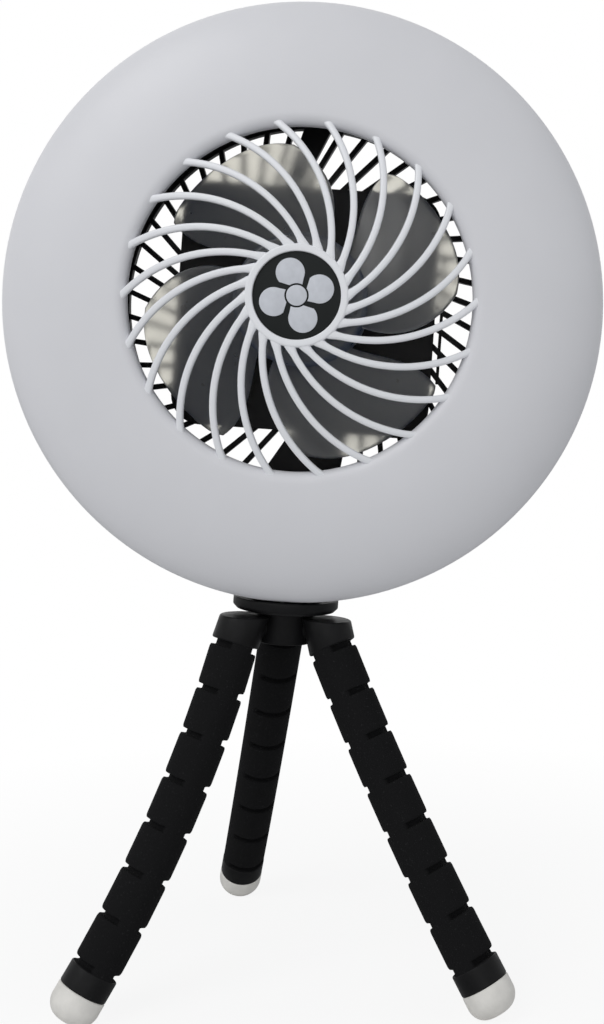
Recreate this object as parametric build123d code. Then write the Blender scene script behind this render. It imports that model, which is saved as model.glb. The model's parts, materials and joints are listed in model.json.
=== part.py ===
"""Portable camping fan: a round fan head with a ring light, standing on a flexible three-legged tripod.

Millimetres. +Z is up and -Y is the side that the air and the light leave by. The origin is on the ground, under the
centre of the whole fan. Three frames are used:
- the fan frame has its origin on the fan's axis above the tripod screw, X to the viewer's right, Y up and Z forward;
- the stand frame has the same origin, Z up along the tripod screw and Y to the rear;
- the ground frame is the one that the pieces are written in.
"""

import os
from math import acos, atan2, cos, degrees, hypot, radians, sin

from build123d import *

# ---------------------------------------------------------------- stance
stand_height = 163.0         # from the ground to the seat of the fan head, along the tripod screw
head_roll = 4.0              # the fan and its tripod head lean sideways, the legs make up for it
stand_turn = 7.4             # the tripod head is screwed on at this angle about its screw

# ---------------------------------------------------------------- clearances
fit_clearance = 0.1          # between mouldings that slide together once
running_clearance = 0.05     # radial, shaft in bush
soft_clearance = 0.3         # foam and rubber to a piece that moves against it
screw_clearance = 0.15       # radial, shank in a clearance hole
thread_clearance = 0.05      # radial, thread crest to its plain bore

# ---------------------------------------------------------------- front cover
ring_radius = 125.0
rim_forward = 18.0           # the widest line of the ring
rim_skirt = 2.0              # straight wall behind the widest line
crest_radius = 75.0
crest_forward = 37.0
opening_radius = 70.0
lip_drop = 3.8               # the lip rounds back by this much into the opening
lip_wall = 1.8
cover_wall = 2.2
spigot_depth = 5.0           # collar that enters the duct
spigot_wall = 2.2

rib_count = 22
rib_width = 2.8
rib_thickness = 3.2
rib_curve_radius = 60.7      # each rib is an arc of this radius, seen from the front
rib_curve_offset = 52.8      # from the fan's axis to the centre of that arc
rib_phase = 9.7
rib_mid_radius = 48.0
rib_mid_forward = 43.6
rib_end_inset = 3.0          # the ribs run into the ring this far inside its crest
rib_end_drop = 2.1           # and this far below it

hub_ring_radius = 20.5
hub_ring_wall = 3.0
hub_forward = 48.2
hub_depth = 4.4
hub_floor = 1.4
badge_thickness = 2.0
emblem_thickness = 0.4
emblem_eye_radius = 4.1
emblem_gap = 0.7
emblem_blade_radius = 5.75
emblem_blade_lean = 2.0      # the round end of each blade stands to one side by this much
emblem_blade_rise = 9.15     # from the eye's centre to the centre of that round end
emblem_root_width = 5.0
emblem_turn = 7.0
emblem_blades = 4

# ---------------------------------------------------------------- rear shell
shell_wall = 2.4
shell_step = 0.4             # the shell's rim stands in from the cover's by this much
shell_back = 17.0            # the rearmost line of the ring, behind the tripod screw
shell_heel_radius = ring_radius - 7.0
shell_heel_back = 13.0
shell_back_radius = ring_radius - 13.0
duct_radius = 78.0
duct_wall = 2.0
duct_top_gap = 1.5
collar_height = 2.5          # locating collar inside the cover's skirt
grille_front = -2.0
grille_depth = 4.0
bar_count = 45
bar_width = 2.2
bar_slant = 20.0
bar_phase = 2.8
bridges = ((10.4, 1.1), (32, 3))  # first slot and number of the closed slots, above and below the pod
grille_rim_wall = 1.0        # thin rim round the grille, that sits in the duct's rear end
side_slot = 2.2              # open strip between the pod and the rib beside it
side_rib_width = 1.3
side_rib_length = 56.0

pod_width = 111.0
pod_height = 105.0
pod_drop = 1.4               # the pod's centre lies below the fan's axis
pod_corner = 13.0
pod_front = 1.0
pod_front_wall = 2.5
pod_side_wall = 2.2
pod_inside_depth = 20.5
pod_cover_thickness = 2.2

mount_seat = ring_radius - 2.6  # the flat that the tripod platform bears on, below the fan's axis
mount_seat_radius = 15.5
mount_seat_margin = 0.5      # of the spot-face round the pad
insert_boss_radius = 8.5
insert_radius = 4.8
insert_length = 11.0

case_screw_count = 6
case_screw_circle = ring_radius - 11.0
case_post_radius = 3.4
case_screw_radius = 1.25
case_screw_length = 18.0
case_screw_seat = 6.0
case_screw_head_radius = 2.4
case_screw_head_height = 2.2

# ---------------------------------------------------------------- light
tray_inner_radius = duct_radius + 4.5
tray_outer_radius = ring_radius - 16.0
tray_floor = 1.6
tray_rim_height = 5.0
tray_forward = 17.4
tray_rib_inner = tray_inner_radius + 4.5
tray_rib_outer = tray_outer_radius - 6.0
tray_rib_width = 1.8
board_margin = 2.5
board_thickness = 1.6
led_count = 30
led_circle = (tray_inner_radius + tray_outer_radius) / 2
led_size = 5.0
led_thickness = 1.6

# ---------------------------------------------------------------- impeller and motor
impeller_radius = 67.0
impeller_hub_radius = 27.3
impeller_hub_wall = 2.0
impeller_hub_front = 34.0
impeller_hub_back = 9.0
impeller_boss_radius = 4.0
blade_count = 4
blade_thickness = 1.8
blade_centre_forward = 21.5
blade_root_pitch = 26.0
blade_tip_pitch = 15.0
blade_phase = 4.0
blade_corner = 4.0

motor_radius = 12.2
motor_wall = 1.0
motor_length = 24.0
motor_cap_thickness = 3.0
motor_boss_radius = 5.0
motor_boss_length = 4.0
motor_nose_radius = 3.5
motor_nose_length = 2.0
shaft_radius = 1.0
shaft_front_gap = 1.5        # from the shaft's end to the front of the impeller's hub
armature_radius = 9.6
armature_length = 12.0
motor_screw_spacing = 16.0
motor_screw_radius = 1.15
motor_screw_length = 5.0
motor_screw_head_radius = 2.2
motor_screw_head_height = 1.5

# ---------------------------------------------------------------- what the pod holds
cell_radius = 9.15
cell_length = 65.0
cell_pitch = 19.5
cell_floor_gap = 2.8         # from the pod's lower wall to the lower cell
cell_terminal_radius = 3.0
cell_terminal_height = 0.8
cradle_floor = 1.3
cradle_end_wall = 1.6
cradle_wall_height = 12.0
cradle_gap = 0.2

circuit_width = 78.0
circuit_height = 34.0
circuit_thickness = 1.6
circuit_top_gap = 3.3        # from the circuit board to the pod's upper wall
circuit_back_gap = 6.0       # from the circuit board to the cover
circuit_post_radius = 2.6
circuit_pin_radius = 1.2
circuit_pin_height = 2.6
circuit_post_inset = 4.0
chip_size = 9.0
chip_thickness = 1.4

socket_width = 8.9
socket_height = 3.2
socket_length = 8.5
socket_wall = 0.35
socket_corner = 1.3

button_spacing = 28.0
button_radius = 6.0
button_flange_radius = 7.2
button_flange_thickness = 1.0
button_proud = 1.6
button_travel = 0.8
button_slide_gap = 0.15
switch_size = 6.0
switch_height = 3.1
plunger_radius = 1.6
lens_radius = 2.0
lens_flange_radius = 3.0
lens_rise = 12.0

pod_post_radius = 3.0
pod_post_inset = 7.0
pod_screw_radius = 1.25
pod_screw_length = 9.0
pod_screw_head_radius = 2.4
pod_screw_head_height = 1.2

# ---------------------------------------------------------------- tripod head
pad_thickness = 2.6
pad_radius = 14.5
platform_radius = 22.5
platform_thickness = 5.1
platform_chamfer = 1.6
column_radius = 12.0
column_height = 14.0
tripod_screw_radius = 3.175  # 1/4 inch thread
tripod_screw_reach = 9.0     # above the platform
tripod_screw_flats = 11.1
tripod_screw_head = 4.0
cup_drop = 2.0               # from the platform to the top of the leg cups
cup_radius = 10.1
cup_tilt = 18.0
arm_radius = 4.5
arm_depth = 5.5
first_notch_radius = 24.0    # the top notch of each leg, from the tripod screw
first_notch_drop = 15.0      # and below the platform

# ---------------------------------------------------------------- legs
foam_radius = 9.9
notch_pitch = 19.3
notch_width = 2.8
foam_blocks = 7
knuckle_radius = 6.5
wire_radius = 1.6
wire_grip = 6.0              # length of wire held in the cup and in the end cap
end_cap_radius = 10.0
end_cap_length = 8.6
peg_radius = 6.0
peg_length = 4.0
foot_radius = 10.1
foot_length = 11.8
foot_corner = 7.0
foot_squash = 0.5            # the soft foot is flattened by this much on the ground

# side of the tripod: direction of its cup, direction of the leg and its bend at each notch, in degrees
legs = {
    "left": {"cup_turn": -150.0, "heading": -148.2, "bend": 2.2},
    "right": {"cup_turn": -30.0, "heading": -28.3, "bend": 0.95},
    "rear": {"cup_turn": 90.0, "heading": 113.0, "bend": 0.4},
}

# ---------------------------------------------------------------- derived places, fan frame
head_height = stand_height + mount_seat
grille_back = grille_front - grille_depth
grille_rim = duct_radius - fit_clearance
bar_outer = grille_rim - grille_rim_wall / 2
shell_front = rim_forward - rim_skirt
shell_rim_radius = ring_radius - shell_step
pod_cavity_front = pod_front - pod_front_wall
pod_cavity_back = pod_cavity_front - pod_inside_depth
pod_back = pod_cavity_back - pod_cover_thickness
motor_front = pod_front + motor_length
circuit_back = pod_cavity_back + circuit_back_gap
circuit_front = circuit_back + circuit_thickness
cell_low = pod_side_wall + cell_floor_gap + cell_radius - pod_height / 2 - pod_drop
circuit_centre = pod_height / 2 - pod_drop - pod_side_wall - circuit_top_gap - circuit_height / 2
cell_forward = pod_cavity_front - cradle_gap - cradle_floor - cradle_gap - cell_radius
led_board_front = tray_forward + tray_floor + board_thickness
post_pilot_depth = case_screw_length - (shell_front - case_screw_seat) + 0.5

# derived places, stand frame: heights below the fan's axis are negative
seat_height = -mount_seat
pad_top = seat_height - soft_clearance
platform_top = pad_top - pad_thickness
platform_bottom = platform_top - platform_thickness
column_bottom = platform_bottom - column_height
cup_top = platform_bottom - cup_drop
first_notch_height = platform_bottom - first_notch_drop
tripod_screw_head_top = column_bottom + tripod_screw_head

BASE = (Align.CENTER, Align.CENTER, Align.MIN)


# ---------------------------------------------------------------- small helpers
def rod(radius, low, high):
    """A round bar about Z."""
    return Pos(0, 0, low) * Cylinder(radius, high - low, align=BASE)


def tube(radius, bore, low, high):
    """A round bar about Z with a hole through it."""
    over = 1.0
    return rod(radius, low, high) - rod(bore, low - over, high + over)


def block(width, height, low, high):
    """A box about Z, from low to high."""
    return Pos(0, 0, low) * Box(width, height, high - low, align=BASE)


def turned(*edges):
    """The solid that a closed outline of edges, drawn as (radius, forward), sweeps about Z."""
    face = make_face([edge for part in edges for edge in part.edges()])
    return revolve(Rot(90, 0, 0) * face, Axis.Z, 360)


def polar(radius, angle):
    """A point of a circle about the origin, angle in degrees."""
    return Vector(radius * cos(radians(angle)), radius * sin(radians(angle)))


def around(count, phase=0.0):
    """Turns about Z that spread a piece evenly."""
    return [Rot(0, 0, phase + 360.0 / count * n) for n in range(count)]


def group(solids):
    """Separate solids kept as one node."""
    return Compound(children=[s for part in solids for s in part.solids()])


def frame(origin, x_direction, z_direction):
    """The place of a frame, as a location."""
    return Plane(origin=origin, x_dir=x_direction, z_dir=z_direction).location


tilt_right = (cos(radians(head_roll)), 0, -sin(radians(head_roll)))
tilt_up = (sin(radians(head_roll)), 0, cos(radians(head_roll)))
fan_frame = frame((0, 0, head_height), tilt_right, (0, -1, 0))
stand_frame = frame((0, 0, head_height), tilt_right, tilt_up)


# ---------------------------------------------------------------- front cover, badge
def crown(radius, height, inner=crest_radius):
    """The ring's domed top from its rim in to a radius, as part of a quarter ellipse."""
    centre = (crest_radius, rim_forward)
    reach = radius - crest_radius
    size = degrees(acos((inner - crest_radius) / reach))
    return EllipticalCenterArc(centre, reach, height - rim_forward, arc_size=size)


def cover_dome():
    """The frosted ring: domed top, rounded lip, collar for the duct."""
    inner_top = crest_forward - cover_wall
    collar_outer = duct_radius - fit_clearance
    collar_inner = collar_outer - spigot_wall
    lip_under = crest_forward - lip_drop - lip_wall
    collar_end = lip_under - spigot_depth
    outside = crown(ring_radius, crest_forward)
    inside = crown(ring_radius - cover_wall, inner_top, collar_outer)
    lip = EllipticalCenterArc(
        (crest_radius, crest_forward - lip_drop),
        crest_radius - opening_radius,
        lip_drop,
        start_angle=90,
        arc_size=90,
    )
    straight = Polyline(
        (opening_radius, crest_forward - lip_drop),
        (opening_radius, lip_under),
        (collar_inner, lip_under),
        (collar_inner, collar_end),
        (collar_outer, collar_end),
        inside @ 1,
    )
    skirt = Polyline(
        (ring_radius - cover_wall, rim_forward),
        (ring_radius - cover_wall, shell_front),
        (ring_radius, shell_front),
        (ring_radius, rim_forward),
    )
    return turned(outside, lip, straight, inside, skirt)


def under_crown():
    """All the space under the ring's domed top, used to trim what rises to it."""
    middle = [(crest_radius, crest_forward), (0, crest_forward), (0, shell_front), (ring_radius, shell_front)]
    edge = Line((ring_radius, shell_front), (ring_radius, rim_forward))
    return turned(crown(ring_radius, crest_forward), Polyline(*middle), edge)


def rib_angle(radius):
    """Angle about the rib's own centre at which the rib crosses a circle about the fan's axis."""
    share = (radius**2 + rib_curve_offset**2 - rib_curve_radius**2) / (2 * radius * rib_curve_offset)
    crossing = polar(radius, -degrees(acos(share)))
    return degrees(atan2(crossing.Y, crossing.X - rib_curve_offset)) % 360


def rib_plan(inner, outer):
    """One rib seen from the front, between two radii."""
    start, end = rib_angle(inner), rib_angle(outer)
    centre = (rib_curve_offset, 0)
    near = CenterArc(centre, rib_curve_radius - rib_width / 2, start, end - start)
    far = CenterArc(centre, rib_curve_radius + rib_width / 2, start, end - start)
    return make_face([near, far, Line(near @ 0, far @ 0), Line(near @ 1, far @ 1)])


def rib_face(drop):
    """The domed line that the ribs' front or back follows, lowered by an amount, from the axis to the ring."""
    points = (
        (0, hub_forward),
        (rib_mid_radius, rib_mid_forward),
        (crest_radius - rib_end_inset + 1, crest_forward - rib_end_drop),
    )
    return ThreePointArc(*[(radius, forward - drop) for radius, forward in points])


def rib_zone():
    """The domed sheet, as thick as a rib, that the ribs are cut from."""
    front, back = rib_face(0), rib_face(rib_thickness)
    return turned(front, back, Line(front @ 0, back @ 0), Line(front @ 1, back @ 1))


def front_cover():
    """Ring, curved ribs and hub ring in one moulding, with posts for the case screws."""
    plan = rib_plan(hub_ring_radius - hub_ring_wall / 2, crest_radius - rib_end_inset)
    bars = extrude(plan, hub_forward + 1) & rib_zone()
    cover = cover_dome()
    for turn in around(rib_count, rib_phase):
        cover += turn * bars
    cover += tube(hub_ring_radius, hub_ring_radius - hub_ring_wall, hub_forward - hub_depth, hub_forward)
    cover += rod(hub_ring_radius - hub_ring_wall / 2, hub_forward - hub_depth, hub_forward - hub_depth + hub_floor)
    post = Pos(case_screw_circle, 0, 0) * rod(case_post_radius, shell_front, crest_forward)
    post = post & under_crown()
    pilot = Pos(case_screw_circle, 0, 0) * rod(
        case_screw_radius + thread_clearance, shell_front - 1, shell_front + post_pilot_depth
    )
    for turn in around(case_screw_count):
        cover = cover + turn * post - turn * pilot
    return cover


def hub_badge():
    """The dark disc in the hub ring."""
    low = hub_forward - hub_depth + hub_floor
    return rod(hub_ring_radius - hub_ring_wall - fit_clearance, low, low + badge_thickness)


def emblem_blade():
    """One blade of the sign, seen from the front: a round end set to one side, on a root by the eye."""
    end = Pos(-emblem_blade_lean, emblem_blade_rise) * Circle(emblem_blade_radius)
    root = Pos(0, emblem_eye_radius + emblem_gap) * Rectangle(emblem_root_width, emblem_gap)
    return make_hull(end.edges() + root.edges()) - Circle(emblem_eye_radius + emblem_gap)


def badge_emblem():
    """A plain four-bladed propeller sign on the badge."""
    low = hub_forward - hub_depth + hub_floor + badge_thickness
    plans = [Circle(emblem_eye_radius)]
    plans += [turn * emblem_blade() for turn in around(emblem_blades, emblem_turn)]
    return group([extrude(Plane.XY.offset(low) * plan, emblem_thickness) for plan in plans])


# ---------------------------------------------------------------- rear shell
def pod_outline(grow=0.0):
    """The pod seen from the front, grown by an amount."""
    return Pos(0, -pod_drop) * RectangleRounded(pod_width + 2 * grow, pod_height + 2 * grow, pod_corner + grow)


def bar_line(reach):
    """A point of the first bar's middle line, at a distance along it from its outer end in the rim."""
    lean = radians(bar_slant)
    return Vector(bar_outer - reach * cos(lean), reach * sin(lean))


def bar_run():
    """Length of a bar, enough to reach the pod's nearer walls from the rim."""
    nearest = min(pod_width, pod_height) / 2 - pod_drop - pod_side_wall
    return (bar_outer - nearest) / cos(radians(bar_slant))


def bar_plan():
    """One slanted bar of the rear grille, from the pod to the rim."""
    middle = bar_line(bar_run() / 2)
    return Pos(middle.X, middle.Y) * Rot(0, 0, -bar_slant) * Rectangle(bar_run(), bar_width)


def bridge_plan(first, slots):
    """The closed slots between two bars, slanted as the bars are."""
    near, far = [Rot(0, 0, bar_phase + 360.0 / bar_count * number) for number in (first, first + slots)]
    overrun = bar_line(-bar_outer / 2)
    ends = [(near, overrun), (near, bar_line(bar_run())), (far, bar_line(bar_run())), (far, overrun)]
    corners = [(turn * Pos(point.X, point.Y)).position for turn, point in ends]
    return make_face(Polyline(*corners, close=True))


def rear_grille():
    """Slanted bars in their rim, the rib beside the pod and the closed slots above and below it."""
    plan = Sketch()
    for turn in around(bar_count, bar_phase):
        plan += turn * bar_plan()
    for first, slots in bridges:
        plan += bridge_plan(first, slots)
    rib_middle = pod_width / 2 + side_slot + side_rib_width / 2
    plan += Pos(rib_middle, -pod_drop) * Rectangle(side_rib_width, side_rib_length)
    plan = plan & Circle(bar_outer)
    plan += Circle(grille_rim) - Circle(grille_rim - grille_rim_wall)
    plan = plan - pod_outline(-pod_side_wall / 2)
    return extrude(Plane.XY.offset(grille_back) * plan, grille_depth)


def shell_dish():
    """The back of the ring: outer wall, heel, sloping back and the duct that the impeller runs in."""
    duct_outer = duct_radius + duct_wall
    duct_top = crest_forward - cover_wall - duct_top_gap
    rim_inner = shell_rim_radius - shell_wall
    outline = Polyline(
        (shell_rim_radius, shell_front),
        (shell_heel_radius, -shell_heel_back),
        (shell_back_radius, -shell_back),
        (duct_radius, grille_back),
        (duct_radius, duct_top),
        (duct_outer, duct_top),
        (duct_outer, grille_back + shell_wall),
        (shell_back_radius, shell_wall - shell_back),
        (shell_heel_radius - shell_wall, -shell_heel_back),
        (rim_inner - shell_wall, shell_front - shell_wall),
        (rim_inner - shell_wall, shell_front + collar_height),
        (ring_radius - cover_wall - fit_clearance, shell_front + collar_height),
        (ring_radius - cover_wall - fit_clearance, shell_front),
        (shell_rim_radius, shell_front),
    )
    return turned(outline)


def screw_seat_cut():
    """What one case screw takes out of the rear shell."""
    hole = rod(case_screw_radius + screw_clearance, -shell_back - 1, shell_front + 1)
    well = rod(case_screw_head_radius + 0.3, -shell_back - 5, case_screw_seat)
    return Pos(case_screw_circle, 0, 0) * (hole + well)


def dish_back(radius):
    """How far forward the outside of the sloping back lies at a radius."""
    share = (radius - duct_radius) / (shell_back_radius - duct_radius)
    return grille_back + share * (-shell_back - grille_back)


def rear_shell():
    """Back of the ring, its duct, the walls under the light and the seat on the tripod, in one moulding."""
    shell = shell_dish()
    for radius in (tray_rib_inner, tray_rib_outer):
        foot = dish_back(radius + tray_rib_width) + shell_wall / 2
        shell += tube(radius + tray_rib_width, radius, foot, tray_forward)
    post = Pos(case_screw_circle, 0, 0) * rod(case_post_radius, -shell_heel_back, shell_front)
    for turn in around(case_screw_count):
        shell = shell + turn * post - turn * screw_seat_cut()
    spot_face = upright(pad_radius + mount_seat_margin, -2 * ring_radius, -mount_seat)
    return shell + mount_boss() - mount_bore() - spot_face


def pod_housing():
    """The open box of the pod with its posts, and the grille that carries it in the duct, in one moulding."""
    pod = extrude(Plane.XY.offset(pod_cavity_back) * pod_outline(), pod_front - pod_cavity_back)
    cavity = extrude(Plane.XY.offset(pod_cavity_back - 1) * pod_outline(-pod_side_wall), pod_inside_depth + 1)
    housing = rear_grille() + pod - cavity
    for spot in pod_post_places():
        housing += spot * rod(pod_post_radius, pod_cavity_back, pod_cavity_front + 1)
        housing -= spot * rod(
            pod_screw_radius + thread_clearance, pod_cavity_back - 1, pod_cavity_back + pod_screw_length
        )
    for spot in circuit_post_places():
        housing += spot * rod(circuit_post_radius, circuit_front, pod_cavity_front + 1)
        housing += spot * rod(circuit_pin_radius, circuit_back - circuit_pin_height + circuit_thickness, circuit_front)
    housing -= rod(motor_boss_radius + fit_clearance, pod_cavity_front - 1, pod_front + 1)
    for spot in motor_screw_places():
        housing -= spot * rod(motor_screw_radius + screw_clearance, pod_cavity_front - 1, pod_front + 1)
    return housing - charging_slot()


def pod_post_places():
    """The pod's four cover screws."""
    across = pod_width / 2 - pod_post_inset
    up = pod_height / 2 - pod_post_inset
    return [Pos(x, y - pod_drop, 0) for x in (-across, across) for y in (-up, up)]


def circuit_post_places():
    """The four pins that the circuit board is staked on."""
    across = circuit_width / 2 - circuit_post_inset
    up = circuit_height / 2 - circuit_post_inset
    return [Pos(x, circuit_centre + y, 0) for x in (-across, across) for y in (-up, up)]


def motor_screw_places():
    """The two screws that hold the motor to the front of the pod."""
    return [Pos(side * motor_screw_spacing / 2, 0, 0) for side in (-1, 1)]


def upright(radius, low, high):
    """A round bar along the tripod screw, in the fan frame, between two heights."""
    return Rot(-90, 0, 0) * rod(radius, low, high)


def mount_boss():
    """The flat and the boss at the foot of the ring, that the tripod screw enters."""
    rim = tube(2 * ring_radius, shell_heel_radius - shell_wall, -shell_back, shell_front)
    seat = upright(mount_seat_radius, -mount_seat, 0) & rim
    boss_top = -mount_seat + insert_length + 2.0
    return seat + upright(insert_boss_radius, -mount_seat, boss_top)


def mount_bore():
    """The hole of the threaded insert."""
    return upright(insert_radius, -mount_seat - 5, -mount_seat + insert_length)


def charging_place():
    """Centre of the charging socket's mouth: on the pod's upper wall, behind the circuit board."""
    return Vector(0, pod_height / 2 - pod_drop, circuit_back - socket_height / 2)


def charging_slot():
    """The opening for the charging plug in the pod's upper wall."""
    mouth = charging_place()
    slot = RectangleRounded(
        socket_width + 2 * fit_clearance, socket_height + 2 * fit_clearance, socket_corner + fit_clearance
    )
    cutter = extrude(slot, 2 * pod_side_wall, both=True)
    return Pos(mouth.X, mouth.Y, mouth.Z) * Rot(90, 0, 0) * cutter


def thread_insert():
    """Brass insert with a 1/4 inch thread, drawn plain."""
    bore = tripod_screw_radius + thread_clearance
    ring = upright(insert_radius, -mount_seat, -mount_seat + insert_length)
    return ring - upright(bore, -mount_seat - 1, -mount_seat + insert_length + 1)


def screw(radius, length, head_radius, head_height):
    """A pan-head screw with a cross slot, its shank along +Z from the origin and its head below."""
    body = rod(radius, 0, length) + rod(head_radius, -head_height, 0)
    depth = head_height * 0.6
    slot = block(head_radius * 1.2, head_radius * 0.3, -head_height - 1, depth - head_height)
    cross = slot + Rot(0, 0, 90) * slot
    return body - cross


def case_screws():
    """The screws that join the rear shell to the front cover."""
    one = screw(case_screw_radius, case_screw_length, case_screw_head_radius, case_screw_head_height)
    return group([turn * Pos(case_screw_circle, 0, case_screw_seat) * one for turn in around(case_screw_count)])


# ---------------------------------------------------------------- light
def light_tray():
    """White annular tray that carries the light's circuit board."""
    top = tray_forward + tray_rim_height
    floor = tube(tray_outer_radius, tray_inner_radius, tray_forward, tray_forward + tray_floor)
    outer = tube(tray_outer_radius, tray_outer_radius - tray_floor, tray_forward, top)
    inner = tube(tray_inner_radius + tray_floor, tray_inner_radius, tray_forward, top)
    return floor + outer + inner


def led_board():
    """Annular circuit board in the tray."""
    low = tray_forward + tray_floor
    return tube(tray_outer_radius - board_margin, tray_inner_radius + board_margin, low, low + board_thickness)


def led_chips():
    """Square light chips on their board."""
    chip = Pos(led_circle, 0, 0) * block(led_size, led_size, led_board_front, led_board_front + led_thickness)
    return group([turn * chip for turn in around(led_count)])


# ---------------------------------------------------------------- impeller and motor
def blade_outline():
    """One blade seen from the front: a leading and a trailing edge, and a round tip with soft corners."""
    root = impeller_hub_radius - impeller_hub_wall / 2
    shoulder = impeller_radius * 0.985
    lead = ThreePointArc(polar(root, 156), polar(50.6, 168), polar(shoulder, 187))
    tip = ThreePointArc(lead @ 1, polar(impeller_radius, 210), polar(shoulder, 235))
    trail = ThreePointArc(tip @ 1, polar(50.6, 240), polar(root, 226))
    face = make_face([lead, tip, trail, Line(trail @ 1, lead @ 0)])
    tips = [v for v in face.vertices() if hypot(v.X, v.Y) > 0.9 * impeller_radius]
    return fillet(tips, blade_corner)


def blade_section(distance, pitch):
    """The blade's cut face at a distance from the axis, as a pitched strip."""
    middle_angle = 203.0
    centre = polar(distance, middle_angle)
    outward = polar(1, middle_angle)
    across = polar(1, middle_angle + 90)
    plane = Plane(
        origin=(centre.X, centre.Y, blade_centre_forward),
        x_dir=(across.X, across.Y, 0),
        z_dir=(outward.X, outward.Y, 0),
    )
    return plane * Rot(0, 0, -pitch) * Rectangle(2 * impeller_radius, blade_thickness)


def impeller():
    """Hub cup and blades in one moulding, open to the rear over the motor."""
    inner = impeller_hub_radius - impeller_hub_wall
    cup = rod(impeller_hub_radius, impeller_hub_back, impeller_hub_front)
    cup = fillet(cup.edges().sort_by(Axis.Z)[-1], impeller_hub_wall)
    cup -= rod(inner, impeller_hub_back - 1, impeller_hub_front - impeller_hub_wall)
    boss_low = motor_front + motor_nose_length + 0.6
    cup += rod(impeller_boss_radius, boss_low, impeller_hub_front - impeller_hub_wall / 2)
    cup -= rod(shaft_radius, boss_low - 1, impeller_hub_front - shaft_front_gap)
    slab = loft([blade_section(10, blade_root_pitch), blade_section(impeller_radius + 5, blade_tip_pitch)])
    blade = extrude(blade_outline(), impeller_hub_front + 5) & slab
    for turn in around(blade_count, blade_phase):
        cup += turn * blade
    return cup


def motor_can():
    """Steel can of the motor with its front bearing nose."""
    low = pod_front + motor_cap_thickness
    can = rod(motor_radius, low, motor_front) + rod(motor_nose_radius, motor_front, motor_front + motor_nose_length)
    can -= rod(motor_radius - motor_wall, low - 1, motor_front - motor_wall)
    return can - rod(shaft_radius + running_clearance, low, motor_front + motor_nose_length + 1)


def motor_end_cap():
    """Plastic rear cap of the motor with its bearing boss."""
    cap = rod(motor_radius, pod_front, pod_front + motor_cap_thickness)
    cap += rod(motor_boss_radius, pod_front - motor_boss_length, pod_front)
    cap -= rod(shaft_radius + running_clearance, pod_front - motor_boss_length - 1, pod_front + 5)
    for spot in motor_screw_places():
        cap -= spot * rod(motor_screw_radius + thread_clearance, pod_front - 1, pod_front + motor_screw_length)
    return cap


def motor_rotor():
    """The motor's shaft with its armature."""
    middle = (pod_front + motor_cap_thickness + motor_front - motor_wall) / 2
    shaft = rod(shaft_radius, pod_front - motor_boss_length + 1, impeller_hub_front - shaft_front_gap)
    return shaft + rod(armature_radius, middle - armature_length / 2, middle + armature_length / 2)


def motor_screws():
    """The motor's two fixing screws."""
    one = screw(motor_screw_radius, motor_screw_length, motor_screw_head_radius, motor_screw_head_height)
    return group([spot * Pos(0, 0, pod_cavity_front) * one for spot in motor_screw_places()])


# ---------------------------------------------------------------- battery and electronics
def battery_cells():
    """Two round cells lying across the pod, each with its raised terminal, facing opposite ways."""
    can = rod(cell_radius, -cell_length / 2, cell_length / 2 - cell_terminal_height)
    can = fillet(can.edges(), 0.6)
    can += rod(cell_terminal_radius, cell_length / 2 - 2 * cell_terminal_height, cell_length / 2)
    lower = Pos(0, cell_low, cell_forward) * Rot(0, 90, 0) * can
    upper = Pos(0, cell_low + cell_pitch, cell_forward) * Rot(0, -90, 0) * can
    return group([lower, upper])


def cell_cradle():
    """Tray with end walls that keeps the two cells in place."""
    inside = cell_length + 2 * cradle_gap
    width = inside + 2 * cradle_end_wall
    height = cell_pitch + 2 * cell_radius
    front = pod_cavity_front - cradle_gap
    centre = cell_low + cell_pitch / 2
    tray = Pos(0, centre, 0) * block(width, height, front - cradle_floor, front)
    for side in (-1, 1):
        x = side * (inside + cradle_end_wall) / 2
        tray += Pos(x, centre, 0) * block(cradle_end_wall, height, front - cradle_wall_height, front)
    return tray


def button_places():
    """Fan button on the left and light button on the right, seen from the front."""
    side = button_spacing / 2
    return {"fan": Pos(-side, circuit_centre, 0), "light": Pos(side, circuit_centre, 0)}


def lens_place():
    """The charge light above the buttons."""
    return Pos(0, circuit_centre + lens_rise, 0)


def control_board():
    """Circuit board with its two push switches and the charging chip."""
    board = Pos(0, circuit_centre, 0) * block(circuit_width, circuit_height, circuit_back, circuit_front)
    for spot in circuit_post_places():
        board -= spot * rod(circuit_pin_radius + fit_clearance, circuit_back - 1, circuit_front + 1)
    for spot in button_places().values():
        board += spot * block(switch_size, switch_size, circuit_back - switch_height, circuit_back)
        plunger_end = circuit_back - switch_height - 0.4
        board += spot * rod(plunger_radius, plunger_end, circuit_back)
    chip = Pos(0, circuit_centre - 6, 0) * block(chip_size, chip_size, circuit_back - chip_thickness, circuit_back)
    lamp = lens_place() * block(3, 3, circuit_back - 1, circuit_back)
    return board + chip + lamp


def charging_socket():
    """Metal shell of the charging inlet with its tongue."""
    mouth = charging_place()
    outer = extrude(RectangleRounded(socket_width, socket_height, socket_corner), socket_length)
    hollow = RectangleRounded(
        socket_width - 2 * socket_wall, socket_height - 2 * socket_wall, socket_corner - socket_wall
    )
    shell = outer - extrude(hollow, socket_length - 1)
    tongue = extrude(Rectangle(6.4, 0.7), socket_length)
    return Pos(mouth.X, mouth.Y, mouth.Z) * Rot(90, 0, 0) * (shell + tongue)


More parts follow.
